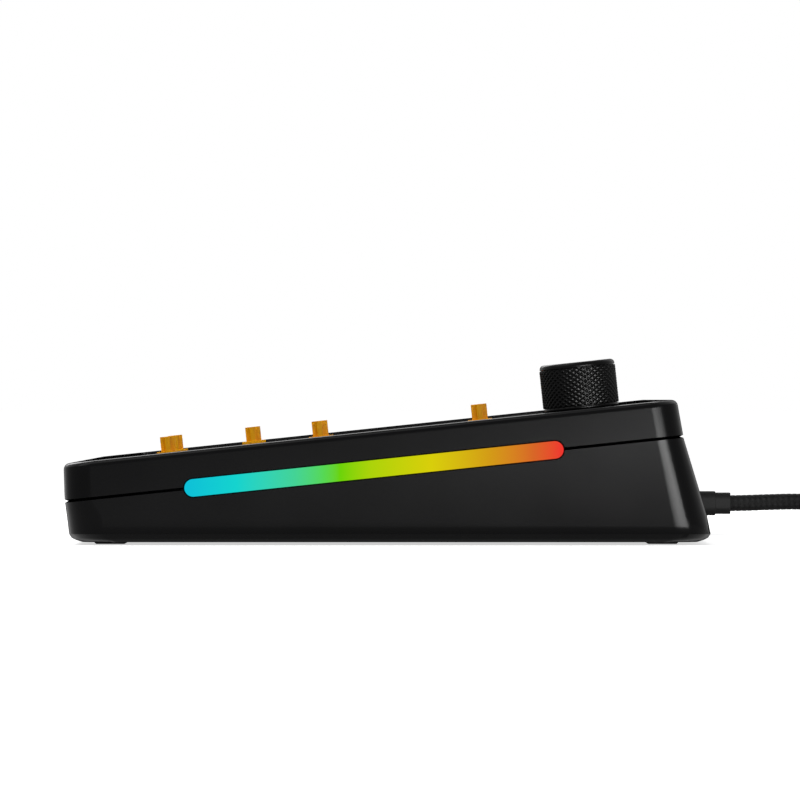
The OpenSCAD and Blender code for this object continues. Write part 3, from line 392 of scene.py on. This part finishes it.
class Finishes:
    def __init__(self, bar: tuple[float, float], face: float) -> None:
        """Make the materials.

        Args:
            bar: Front and rear end of the light bars in metres.
            face: How far the bars' outer faces are from the part's middle.
        """
        light_stops = (
            (0.0, linear(5, 190, 215)), (0.14, linear(15, 210, 205)), (0.29, linear(65, 210, 150)),
            (0.37, linear(85, 215, 80)), (0.41, linear(105, 210, 0)), (0.49, linear(170, 210, 0)),
            (0.65, linear(215, 205, 0)), (0.8, linear(210, 155, 15)), (0.92, linear(215, 100, 35)),
            (1.0, linear(240, 45, 45)),
        )
        recipes = [
            # The case carries a painted dark reflection along its rim seen edge on.
            Coating("case_black", (0.0016, 0.0016, 0.0018), (0.0022, 0.0022, 0.0024), 0.15, 0.12 * MM,
                    0.0004 * MM, rough_spread=0.01, ior=1.14, painted_dark_rim=True),
            Coating("foot_rubber", (0.008, 0.008, 0.008), (0.013, 0.013, 0.013), 0.8, 0.3 * MM, 0.03 * MM,
                    ior=1.3),
            Coating("plate_metal", (0.008, 0.008, 0.009), (0.013, 0.013, 0.014), 0.45, 0.18 * MM, 0.012 * MM,
                    ior=1.3),
            Coating("foam", (0.016, 0.016, 0.018), (0.035, 0.035, 0.038), 0.95, 0.35 * MM, 0.12 * MM),
            Coating("black_plastic", (0.006, 0.006, 0.007), (0.011, 0.011, 0.012), 0.38, 0.2 * MM, 0.008 * MM,
                    ior=1.33),
            Coating("boot_grey", (0.011, 0.011, 0.011), (0.014, 0.014, 0.014), 0.6, 0.2 * MM, 0.012 * MM,
                    ior=1.1),
            # The knob carries a painted dark reflection along its rim seen edge on.
            Coating("knob_black", (0.002, 0.002, 0.002), (0.003, 0.003, 0.003), 0.2, 0.1 * MM, 0.001 * MM,
                    ior=1.13, painted_dark_rim=True),
            Coating("steel", (0.4, 0.4, 0.42), (0.52, 0.52, 0.53), 0.28, 0.12 * MM, 0.002 * MM,
                    metallic=1.0, stretch=(9, 1, 1)),
            Coating("black_steel", (0.04, 0.04, 0.045), (0.08, 0.08, 0.085), 0.35, 0.15 * MM, 0.004 * MM,
                    metallic=1.0),
            Coating("brass", (0.7, 0.5, 0.22), (0.8, 0.6, 0.3), 0.3, 0.15 * MM, 0.002 * MM, metallic=1.0),
            Coating("gold", (0.83, 0.6, 0.25), (0.9, 0.7, 0.35), 0.25, 0.1 * MM, 0.002 * MM, metallic=1.0),
            Coating("light_board", (0.75, 0.75, 0.72), (0.82, 0.82, 0.8), 0.4, 0.3 * MM, 0.004 * MM),
            LightGuide("light_guide", bar[0], bar[1], face, light_stops),
            Resin("stem_amber", linear(232, 162, 8), linear(228, 158, 7), 0.4, 0.0, 0.8 * MM, 1.05),
            Resin("led_white", (0.8, 0.8, 0.72), (0.7, 0.66, 0.4), 0.2, 0.2, 0.5 * MM),
            SolderMask("board", (0.005, 0.007, 0.008), (0.016, 0.021, 0.023)),
            WovenSleeve("braid", (0.0008, 0.0008, 0.0009), (0.02, 0.02, 0.0205), 0.18 * MM),
            WovenSleeve("strap", (0.006, 0.006, 0.006), (0.018, 0.018, 0.018), 0.4 * MM),
        ]
        self.made = {recipe.name: recipe.build() for recipe in recipes}

    def paint(self, piece: bpy.types.Object, slot: str) -> None:
        """Give a whole piece one material."""
        piece.data.materials.clear()
        piece.data.materials.append(self.made[slot])


def shade_group() -> bpy.types.NodeTree:
    """Return a geometry node group that smooths a mesh except along its sharper edges."""
    group = bpy.data.node_groups.new("smooth_below_angle", "GeometryNodeTree")
    group.interface.new_socket("Geometry", in_out="INPUT", socket_type="NodeSocketGeometry")
    group.interface.new_socket("Geometry", in_out="OUTPUT", socket_type="NodeSocketGeometry")
    start = group.nodes.new("NodeGroupInput")
    end = group.nodes.new("NodeGroupOutput")
    faces = group.nodes.new("GeometryNodeSetShadeSmooth")
    edges = group.nodes.new("GeometryNodeSetShadeSmooth")
    edges.domain = "EDGE"
    edges.inputs["Shade Smooth"].default_value = False
    angle = group.nodes.new("GeometryNodeInputMeshEdgeAngle")
    sharp = group.nodes.new("FunctionNodeCompare")
    sharp.inputs["B"].default_value = Smoothing.LIMIT.value
    group.links.new(start.outputs[0], faces.inputs["Geometry"])
    group.links.new(faces.outputs[0], edges.inputs["Geometry"])
    group.links.new(angle.outputs["Unsigned Angle"], sharp.inputs["A"])
    group.links.new(sharp.outputs[0], edges.inputs["Selection"])
    group.links.new(edges.outputs[0], end.inputs[0])
    return group


class Smoothing(Enum):
    """How carried-over meshes are smoothed."""

    LIMIT = math.radians(24)
    WELD = 0.002 * MM
    FLAT = math.radians(0.5)
    SHARP = math.radians(38)


class Shader:
    """Gives meshes smooth shading that keeps flat faces flat."""

    def __init__(self) -> None:
        """Make the node group that all pieces share."""
        self.group = shade_group()

    def smooth(self, piece: bpy.types.Object, edge: float = 0.0) -> None:
        """Join split corners, round off sharp edges, then smooth every edge below the limit.

        Args:
            piece: The piece to smooth.
            edge: Width of the rounding along sharp edges, or nothing for crisp ones.
        """
        weld = piece.modifiers.new("join_corners", "WELD")
        weld.merge_threshold = Smoothing.WELD.value
        if edge:
            flat = piece.modifiers.new("join_flat_faces", "DECIMATE")
            flat.decimate_type = "DISSOLVE"
            flat.angle_limit = Smoothing.FLAT.value
            rounding = piece.modifiers.new("round_edges", "BEVEL")
            rounding.width = edge
            rounding.segments = 2
            rounding.limit_method = "ANGLE"
            rounding.angle_limit = Smoothing.SHARP.value
            rounding.use_clamp_overlap = True
        nodes = piece.modifiers.new("smooth", "NODES")
        nodes.node_group = self.group
        normals = piece.modifiers.new("flat_faces_first", "WEIGHTED_NORMAL")
        normals.keep_sharp = True
        normals.weight = 100


def new_piece(name: str, points: np.ndarray, faces: Sequence[Sequence[int]]) -> bpy.types.Object:
    """Make a mesh object in the part's frame.

    Args:
        name: Name of the piece.
        points: Corner points in metres.
        faces: Corner numbers of each face.

    Returns:
        The object, linked to the scene.
    """
    mesh = bpy.data.meshes.new(name)
    mesh.from_pydata(np.asarray(points, float).tolist(), [], [list(face) for face in faces])
    mesh.validate()
    mesh.shade_smooth()
    piece = bpy.data.objects.new(name, mesh)
    bpy.context.scene.collection.objects.link(piece)
    return piece


def ring_faces(rings: int, sides: int, closed_ends: bool = True) -> list[list[int]]:
    """Return the faces of a skin over rings of equally many points.

    Args:
        rings: Number of rings.
        sides: Points in a ring.
        closed_ends: Whether the first and last ring get a cap.

    Returns:
        The faces, turned outwards for rings that run anticlockwise seen from their last one.
    """
    walls = [
        [i * sides + k, i * sides + (k + 1) % sides, (i + 1) * sides + (k + 1) % sides, (i + 1) * sides + k]
        for i in range(rings - 1) for k in range(sides)
    ]
    if not closed_ends:
        return walls
    last = (rings - 1) * sides
    return walls + [list(range(sides))[::-1], [last + k for k in range(sides)]]


@dataclass
class Studio:
    """Camera, floor, background and lamps."""

    camera_place: Point = (2.915, 0.00298, 0.034)
    lens: float = 529.5
    sensor: float = 36.0
    floor_side: float = 60.0
    floor_colour: Colour = (0.8, 0.8, 0.8)
    floor_glow: float = 0.62
    room_light: float = 0.5
    panel_place: Point = (1.545, 0.656, 0.16)
    panel_aim: Point = (0.165, 0.07, 0.16)
    panel_size: tuple[float, float] = (1.0, 0.3)

    def make_camera(self) -> None:
        """Place the camera square to the user's right-hand side."""
        data = bpy.data.cameras.new("camera")
        data.lens = self.lens
        data.sensor_width = self.sensor
        data.clip_end = 200
        camera = bpy.data.objects.new("camera", data)
        camera.location = self.camera_place
        camera.rotation_euler = (math.pi / 2, 0, math.pi / 2)
        bpy.context.scene.collection.objects.link(camera)
        bpy.context.scene.camera = camera

    def make_floor(self) -> None:
        """Lay a pale floor that shows white to the camera and keeps the shadow."""
        half = self.floor_side / 2
        corners = np.array([(-half, -half, 0), (half, -half, 0), (half, half, 0), (-half, half, 0)])
        floor = new_piece("floor", corners, [(0, 1, 2, 3)])
        recipe = Recipe("pale_floor")
        rays = ("Is Camera Ray", "Is Glossy Ray", "Is Transmission Ray")
        seen = [recipe.node("ShaderNodeLightPath", {}, {}, name) for name in rays]
        plain = recipe.node("ShaderNodeBsdfDiffuse", {}, {"Color": self.floor_colour})
        glow_inputs = {"Color": (1.0, 1.0, 1.0), "Strength": self.floor_glow}
        glow = recipe.node("ShaderNodeEmission", {}, glow_inputs)
        both = recipe.node("ShaderNodeAddShader", {}, {0: plain, 1: glow})
        shown = recipe.node("ShaderNodeMixShader", {}, {0: seen[0] + seen[1] + seen[2], 1: plain, 2: both})
        recipe.tree.links.new(shown.socket, recipe.output.inputs["Surface"])
        floor.data.materials.append(recipe.material)

    def make_world(self) -> None:
        """Fill the room with even light, and show it white to the camera and in reflections."""
        world = bpy.data.worlds.new("room")
        world.use_nodes = True
        tree = world.node_tree
        tree.nodes.clear()
        path = tree.nodes.new("ShaderNodeLightPath")
        even = tree.nodes.new("ShaderNodeBackground")
        even.inputs["Strength"].default_value = self.room_light
        white = tree.nodes.new("ShaderNodeBackground")
        mix = tree.nodes.new("ShaderNodeMixShader")
        out = tree.nodes.new("ShaderNodeOutputWorld")
        for background in (even, white):
            background.inputs["Color"].default_value = (1, 1, 1, 1)
        sees_white = path.outputs["Is Camera Ray"]
        for ray in ("Is Glossy Ray", "Is Transmission Ray"):
            either = tree.nodes.new("ShaderNodeMath")
            either.operation = "MAXIMUM"
            tree.links.new(sees_white, either.inputs[0])
            tree.links.new(path.outputs[ray], either.inputs[1])
            sees_white = either.outputs[0]
        tree.links.new(sees_white, mix.inputs[0])
        tree.links.new(even.outputs[0], mix.inputs[1])
        tree.links.new(white.outputs[0], mix.inputs[2])
        tree.links.new(mix.outputs[0], out.inputs["Surface"])
        bpy.context.scene.world = world

    @staticmethod
    def add_lamp(name: str, place: Point, aim: Point, size: tuple[float, float], watts: float,
                 gloss_only: bool = False) -> None:
        """Hang a soft rectangular lamp.

        Args:
            name: Name of the lamp.
            place: Where it hangs.
            aim: The point that it faces.
            size: Width and height of the panel.
            watts: Power.
            gloss_only: Whether it shows only in reflections.
        """
        data = bpy.data.lights.new(name, "AREA")
        data.shape = "RECTANGLE"
        data.size = size[0]
        data.size_y = size[1]
        data.energy = watts
        lamp = bpy.data.objects.new(name, data)
        lamp.location = place
        lamp.rotation_euler = (Vector(aim) - Vector(place)).to_track_quat("-Z", "Y").to_euler()
        lamp.visible_camera = False
        lamp.visible_diffuse = not gloss_only
        bpy.context.scene.collection.objects.link(lamp)

    def make_lamps(self) -> None:
        """Hang the low panel at the rear right, the key lamp above and the fill on the left."""
        panel = (self.panel_place, self.panel_aim, self.panel_size)
        self.add_lamp("rear_side_panel", *panel, 7)
        self.add_lamp("rear_side_gloss", *panel, 200, gloss_only=True)
        self.add_lamp("key_lamp", (0.3, -0.5, 1.1), (0, 0, 0), (0.9, 0.9), 7)
        self.add_lamp("left_lamp", (-0.9, -0.2, 0.6), (0, 0, 0.02), (0.6, 0.6), 5)
        bpy.context.scene.view_settings.view_transform = "Standard"


@dataclass
class Cable:
    """Braided cable: a lead from the boot, a tied coil in four layers and a tail to the far plug."""

    diameter: float = 4.1 * MM
    length: float = 1.524
    lead: tuple[Point, ...] = (
        (-0.06, 0.0864, 0.0079), (-0.06, 0.091, 0.008), (-0.06, 0.097, 0.0082), (-0.06, 0.103, 0.0083),
        (-0.06, 0.109, 0.008), (-0.06, 0.115, 0.0072), (-0.06, 0.121, 0.006), (-0.06, 0.127, 0.0048),
        (-0.06, 0.133, 0.0038), (-0.06, 0.139, 0.0032), (-0.06, 0.146, 0.003),
    )
    tail: tuple[Point, ...] = (
        (-0.019, 0.179, 0.0168), (-0.012, 0.1795, 0.0158), (-0.005, 0.18, 0.0138), (0.002, 0.1805, 0.0112),
        (0.009, 0.181, 0.0086), (0.016, 0.181, 0.0064), (0.023, 0.181, 0.0048), (0.029, 0.181, 0.004),
        (0.035, 0.181, 0.0038),
    )
    turns: float = 9.25
    layers: int = 4
    steps: int = 48
    pitch: float = 4.6 * MM
    mean_radius: float = 24 * MM
    strands: int = 8
    sides: int = 28
    ring_step: float = 0.35 * MM
    weave_length: float = 1.42 * MM
    weave_depth: float = 0.2 * MM
    yarn_arch: float = 0.6
    under_share: float = 0.55

    def coil_points(self) -> list[Point]:
        """Return the coil's centreline: it winds in and out again and climbs at each reversal."""
        per_layer = self.turns / self.layers
        outer = self.mean_radius + self.pitch * per_layer / 2
        inner = self.mean_radius - self.pitch * per_layer / 2
        start = Vector(self.lead[-1]) + Vector((0, self.diameter, 0))
        points = []
        for i in range(int(self.turns * self.steps) + 1):
            turn = i / self.steps
            layer = min(int(turn / per_layer), self.layers - 1)
            part = turn / per_layer - layer
            inward = outer - self.pitch * per_layer * part
            outward = inner + self.pitch * per_layer * part
            radius = inward if layer % 2 == 0 else outward
            climb = sum(min(1, max(0, (turn - k * per_layer) * 2 + 0.5)) for k in range(1, self.layers))
            angle = math.tau * turn
            points.append((start.x + outer - radius * math.cos(angle), start.y + radius * math.sin(angle),
                           start.z + self.pitch * climb))
        return points

    def route(self) -> np.ndarray:
        """Return the whole centreline as points a ring step apart."""
        coil = self.coil_points()
        leave = (coil[-1][0] + self.diameter, coil[-1][1], coil[-1][2])
        knots = np.array([*self.lead, *coil, leave, *self.tail])
        before = np.vstack([knots[:1] * 2 - knots[1:2], knots[:-1]])
        after = np.vstack([knots[1:], knots[-1:] * 2 - knots[-2:-1]])
        fine = [knots[0]]
        for i in range(len(knots) - 1):
            count = max(1, math.ceil(np.linalg.norm(knots[i + 1] - knots[i]) / self.ring_step))
            for k in range(1, count + 1):
                t = k / count
                a, b, c, d = before[i], knots[i], knots[i + 1], after[i + 1]
                fine.append(0.5 * (2 * b + (c - a) * t + (2 * a - 5 * b + 4 * c - d) * t ** 2
                                   + (3 * b - a - 3 * c + d) * t ** 3))
        return np.array(fine)

    def weave(self, around: np.ndarray, along: np.ndarray) -> tuple[np.ndarray, np.ndarray]:
        """Cross the two sets of yarns over and under each other.

        Args:
            around: Angle round the cable.
            along: Distance along it.

        Returns:
            How far each point lies below the sleeve's outer size in metres, and its share of a painted
            highlight on a yarn's crown.
        """
        right = self.strands * around / math.tau + along / self.weave_length
        left = self.strands * around / math.tau - along / self.weave_length
        over = (np.floor(right) + np.floor(left)) % 2
        right_arch = np.abs(np.sin(math.pi * right)) ** self.yarn_arch
        left_arch = np.abs(np.sin(math.pi * left)) ** self.yarn_arch
        dip = 1 - self.under_share
        height = np.maximum(right_arch * (self.under_share + dip * over), left_arch * (1 - dip * over))
        # The second value is a painted highlight: it marks the crown of each yarn that lies on top.
        return self.weave_depth * (1 - height), right_arch * left_arch * (1 - over)

    def build(self, finishes: Finishes) -> bpy.types.Object:
        route = self.route()
        ahead = np.gradient(route, axis=0)
        ahead /= np.linalg.norm(ahead, axis=1)[:, None]
        side = np.cross((0, 0, 1), ahead)
        side /= np.linalg.norm(side, axis=1)[:, None]
        up = np.cross(ahead, side)
        along = np.concatenate([[0], np.cumsum(np.linalg.norm(np.diff(route, axis=0), axis=1))])
        angle = math.tau * (np.arange(self.sides) + 0.5) / self.sides
        below, crown = self.weave(angle[None, :], along[:, None])
        radius = self.diameter / 2 - below
        across, over = np.cos(angle)[None, :, None], np.sin(angle)[None, :, None]
        spread = across * side[:, None, :] + over * up[:, None, :]
        points = route[:, None, :] + radius[..., None] * spread
        piece = new_piece("braided_cable", points.reshape(-1, 3), ring_faces(len(route), self.sides))
        # The crown share is stored for the sleeve's material, which paints it as a highlight.
        painted_highlight_attribute = piece.data.attributes.new("crown", "FLOAT", "POINT")
        painted_highlight_attribute.data.foreach_set("value", crown.ravel())
        finishes.paint(piece, "braid")
        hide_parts("cable_lead", "cable_coil", "cable_tail")
        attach(piece, "case")
        log.info("braided cable: %.3f m, %d rings", along[-1], len(route))
        return piece


@dataclass
class Knob:
    """Turned cap with a bore, a diamond knurl, a rounded crown and a shallow dish in its top."""

    radius: float = 9.0 * MM
    rim: float = 0.15 * MM
    bottom: float = 8.7 * MM
    top: float = 19.9 * MM
    foot_height: float = 0.9 * MM
    crown_height: float = 1.3 * MM
    chamfer: float = 1.0 * MM
    foot_chamfer: float = 0.3 * MM
    knurl_depth: float = 0.4 * MM
    diamonds_around: int = 37
    diamond_rows: int = 8
    cell_steps: int = 6
    bore_radius: float = 3.02 * MM
    crown_rings: int = 7
    knurl_slope: float = 1.35
    knurl_flat: float = 0.85
    knurl_run_out: float = 0.1 * MM
    dish_edge: float = 0.5 * MM
    dish_slope: float = 0.3 * MM
    dish_depth: float = 0.12 * MM
    dish_centre: float = 0.4 * MM

    def profile(self) -> list[tuple[float, float, bool]]:
        """Return the rings from the bore to the top's middle.

        Returns:
            Radius, height and whether the knurl works on it, for each ring.
        """
        wall = self.radius - self.rim
        crown = wall - self.chamfer
        dish = self.top - self.dish_depth
        low = self.bottom + self.foot_height
        high = self.top - self.crown_height
        rows = self.diamond_rows * self.cell_steps
        arc = [(wall - self.chamfer * (1 - math.cos(a)), self.top - self.chamfer * (1 - math.sin(a)))
               for a in np.linspace(0, math.pi / 2, self.crown_rings)]
        return [
            (self.bore_radius, self.bottom, False),
            (wall - self.foot_chamfer, self.bottom, False),
            (wall, self.bottom + self.foot_chamfer, False),
            (wall, low - self.knurl_run_out, False),
            (wall - self.knurl_depth, low, False),
            *[(self.radius, low + (high - low) * (i + 0.5) / rows, True) for i in range(rows)],
            (wall - self.knurl_depth, high, False),
            (wall, high + self.knurl_run_out, False),
            *[(r, z, False) for r, z in arc],
            (crown - self.dish_edge, self.top, False),
            (crown - self.dish_edge - self.dish_slope, dish, False),
            (self.dish_centre, dish, False),
        ]

    def build(self, finishes: Finishes) -> None:
        """Turn and knurl the cap on the axis of its joint."""
        joint = next(joint for joint in frame["joints"] if joint["name"] == "knob_turn")
        columns = self.diamonds_around * self.cell_steps
        angle = math.tau * np.arange(columns) / columns
        low = self.bottom + self.foot_height
        high = self.top - self.crown_height
        rings = []
        for radius, height, knurled in self.profile():
            around = self.diamonds_around * angle / math.tau
            along = self.diamond_rows * (height - low) / (high - low)
            first = np.abs((around + along) % 1 - 0.5) * 2
            second = np.abs((around - along) % 1 - 0.5) * 2
            slope = np.minimum(first, second) * self.knurl_slope
            hill = np.minimum(slope, self.knurl_flat) / self.knurl_flat
            reach = radius - self.knurl_depth * (1 - hill) if knurled else np.full(columns, radius)
            level = np.full(columns, height)
            rings.append(np.stack([reach * np.cos(angle), reach * np.sin(angle), level], 1))
        points = np.concatenate(rings)
        turn = Vector((0, 0, 1)).rotation_difference(Vector(joint["axis"])).to_matrix()
        points = points @ np.array(turn).T + np.array(joint["pos_m"])
        piece = new_piece("knurled_knob", points, ring_faces(len(rings), columns))
        finishes.paint(piece, "knob_black")
        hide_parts("knob")
        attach(piece, "knob")
        log.info("knob: %d points", len(points))


@dataclass
class BoardDetail:
    """Gold rings round the plated holes of every key position."""

    tilt: float = math.radians(6)
    deck_y: float = -3.09594 * MM
    deck_z: float = 17.9 * MM
    level: float = -2.73 * MM
    pitch: float = 19.05 * MM
    rows: tuple[tuple[float, ...], ...] = (
        (1, -0.25, 1, 1, 1, 1, -0.25, 1, 1, 1, 1, -0.25, 1, 1, 1, 1, -0.25, 1),
        (1,) * 13 + (2, 1),
        (1.5,) + (1,) * 12 + (1.5, 1),
        (1.75,) + (1,) * 11 + (2.25, 1),
        (2.25,) + (1,) * 10 + (1.75, 1, 1),
        (1.25, 1.25, 1.25, 6.25) + (1,) * 6,
    )
    row_gap: float = 0.25
    field_width: float = 16
    pins: tuple[tuple[float, float], ...] = ((-3.81 * MM, 2.54 * MM), (2.54 * MM, 5.08 * MM))
    hole_radius: float = 1.5 * MM
    ring_width: float = 0.35 * MM
    ring_height: float = 0.05 * MM
    sides: int = 28

    def key_places(self) -> list[tuple[float, float]]:
        """Return the middle of every key in the typing plane."""
        depth = (len(self.rows) + self.row_gap) * self.pitch
        places = []
        for index, row in enumerate(self.rows):
            y = -depth / 2 + self.pitch * (len(self.rows) - index - 0.5 + (self.row_gap if index == 0 else 0))
            x = -self.field_width * self.pitch / 2
            for width in row:
                if width > 0:
                    places.append((x + width * self.pitch / 2, y))
                x += abs(width) * self.pitch
        return places

    def on_deck(self, points: np.ndarray) -> np.ndarray:
        """Move points from the typing plane into the part's frame."""
        cos, sin = math.cos(self.tilt), math.sin(self.tilt)
        turn = np.array([[1, 0, 0], [0, cos, -sin], [0, sin, cos]])
        return points @ turn.T + np.array([0, self.deck_y, self.deck_z])

    def build(self, finishes: Finishes) -> None:
        """Lay all rings as one mesh."""
        angle = math.tau * np.arange(self.sides) / self.sides
        circle = np.stack([np.cos(angle), np.sin(angle)], 1)
        inner, outer = self.hole_radius, self.hole_radius + self.ring_width
        shape = [(outer, 0.0), (outer, self.ring_height), (inner, self.ring_height), (inner, 0.0)]
        points, faces = [], []
        for x, y in self.key_places():
            for pin_x, pin_y in self.pins:
                base = len(points) * self.sides
                for radius, height in shape:
                    flat = circle * radius + (x + pin_x, y + pin_y)
                    points.append(np.column_stack([flat, np.full(self.sides, self.level + height)]))
                walls = ring_faces(len(shape), self.sides, False)
                faces += [[base + corner for corner in face] for face in walls]
        piece = new_piece("plated_rings", self.on_deck(np.concatenate(points)), faces)
        finishes.paint(piece, "gold")
        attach(piece, "case")
        log.info("plated rings: %d", len(points) // len(shape))


class KitDressing:
    """Finishes of the pieces whose shape comes with the frame."""

    SLOTS = {
        "case_black": ["bottom_case", "top_case"],
        "black_steel": ["case_screws", "plate_screws", "usb_board_screws", "knob_set_screw"],
        "foot_rubber": ["front_feet", "rear_feet"],
        "light_guide": ["light_bar_right", "light_bar_left"],
        "light_board": ["light_strip_right", "light_strip_left", "board_link_cable", "encoder_rotor"],
        "plate_metal": ["switch_plate"],
        "foam": ["gasket_pads", "plate_foam", "case_foam"],
        "board": ["circuit_board", "usb_board"],
        "brass": ["board_spacers"],
        "black_plastic": ["switch_sockets", "board_parts", "space_housings", "left_shift_housings",
                          "enter_housings", "backspace_housings"],
        "led_white": ["key_leds"],
        "steel": ["usb_socket", "encoder_body", "encoder_shaft", "stabiliser_screws", "usb_c_plug",
                  "usb_a_plug", "space_wire", "left_shift_wire", "enter_wire", "backspace_wire"],
        "stem_amber": [f"{key}_stem_{side}" for key in ("space", "left_shift", "enter", "backspace")
                       for side in ("left", "right")],
        "boot_grey": ["usb_c_boot", "usb_a_boot"],
        "strap": ["cable_tie"],
    }
    EDGES = {
        "stem_amber": 0.1 * MM, "black_plastic": 0.12 * MM, "boot_grey": 0.3 * MM, "case_black": 0.15 * MM,
    }

    def __init__(self, finishes: Finishes, shader: Shader) -> None:
        """Keep what the pieces share."""
        self.finishes = finishes
        self.shader = shader

    def dress(self) -> None:
        """Paint and smooth every carried-over piece."""
        for slot, names in self.SLOTS.items():
            for name in names:
                piece = frame["nodes"][name]
                self.finishes.paint(piece, slot)
                self.shader.smooth(piece, self.EDGES.get(slot, 0.0))
            log.info("%s: %d pieces", slot, len(names))


def main() -> None:
    """Build the studio, the cord, and then every sub-assembly in order."""
    logging.basicConfig(level=logging.INFO, format="%(name)s: %(message)s")
    studio = Studio()
    studio.make_camera()
    low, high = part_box("light_bar_right")
    finishes = Finishes((low.y, high.y), high.x)
    Cable().build(finishes)
    KitDressing(finishes, Shader()).dress()
    Knob().build(finishes)
    BoardDetail().build(finishes)
    studio.make_floor()
    studio.make_world()
    studio.make_lamps()


if __name__ == "__main__":
    main()
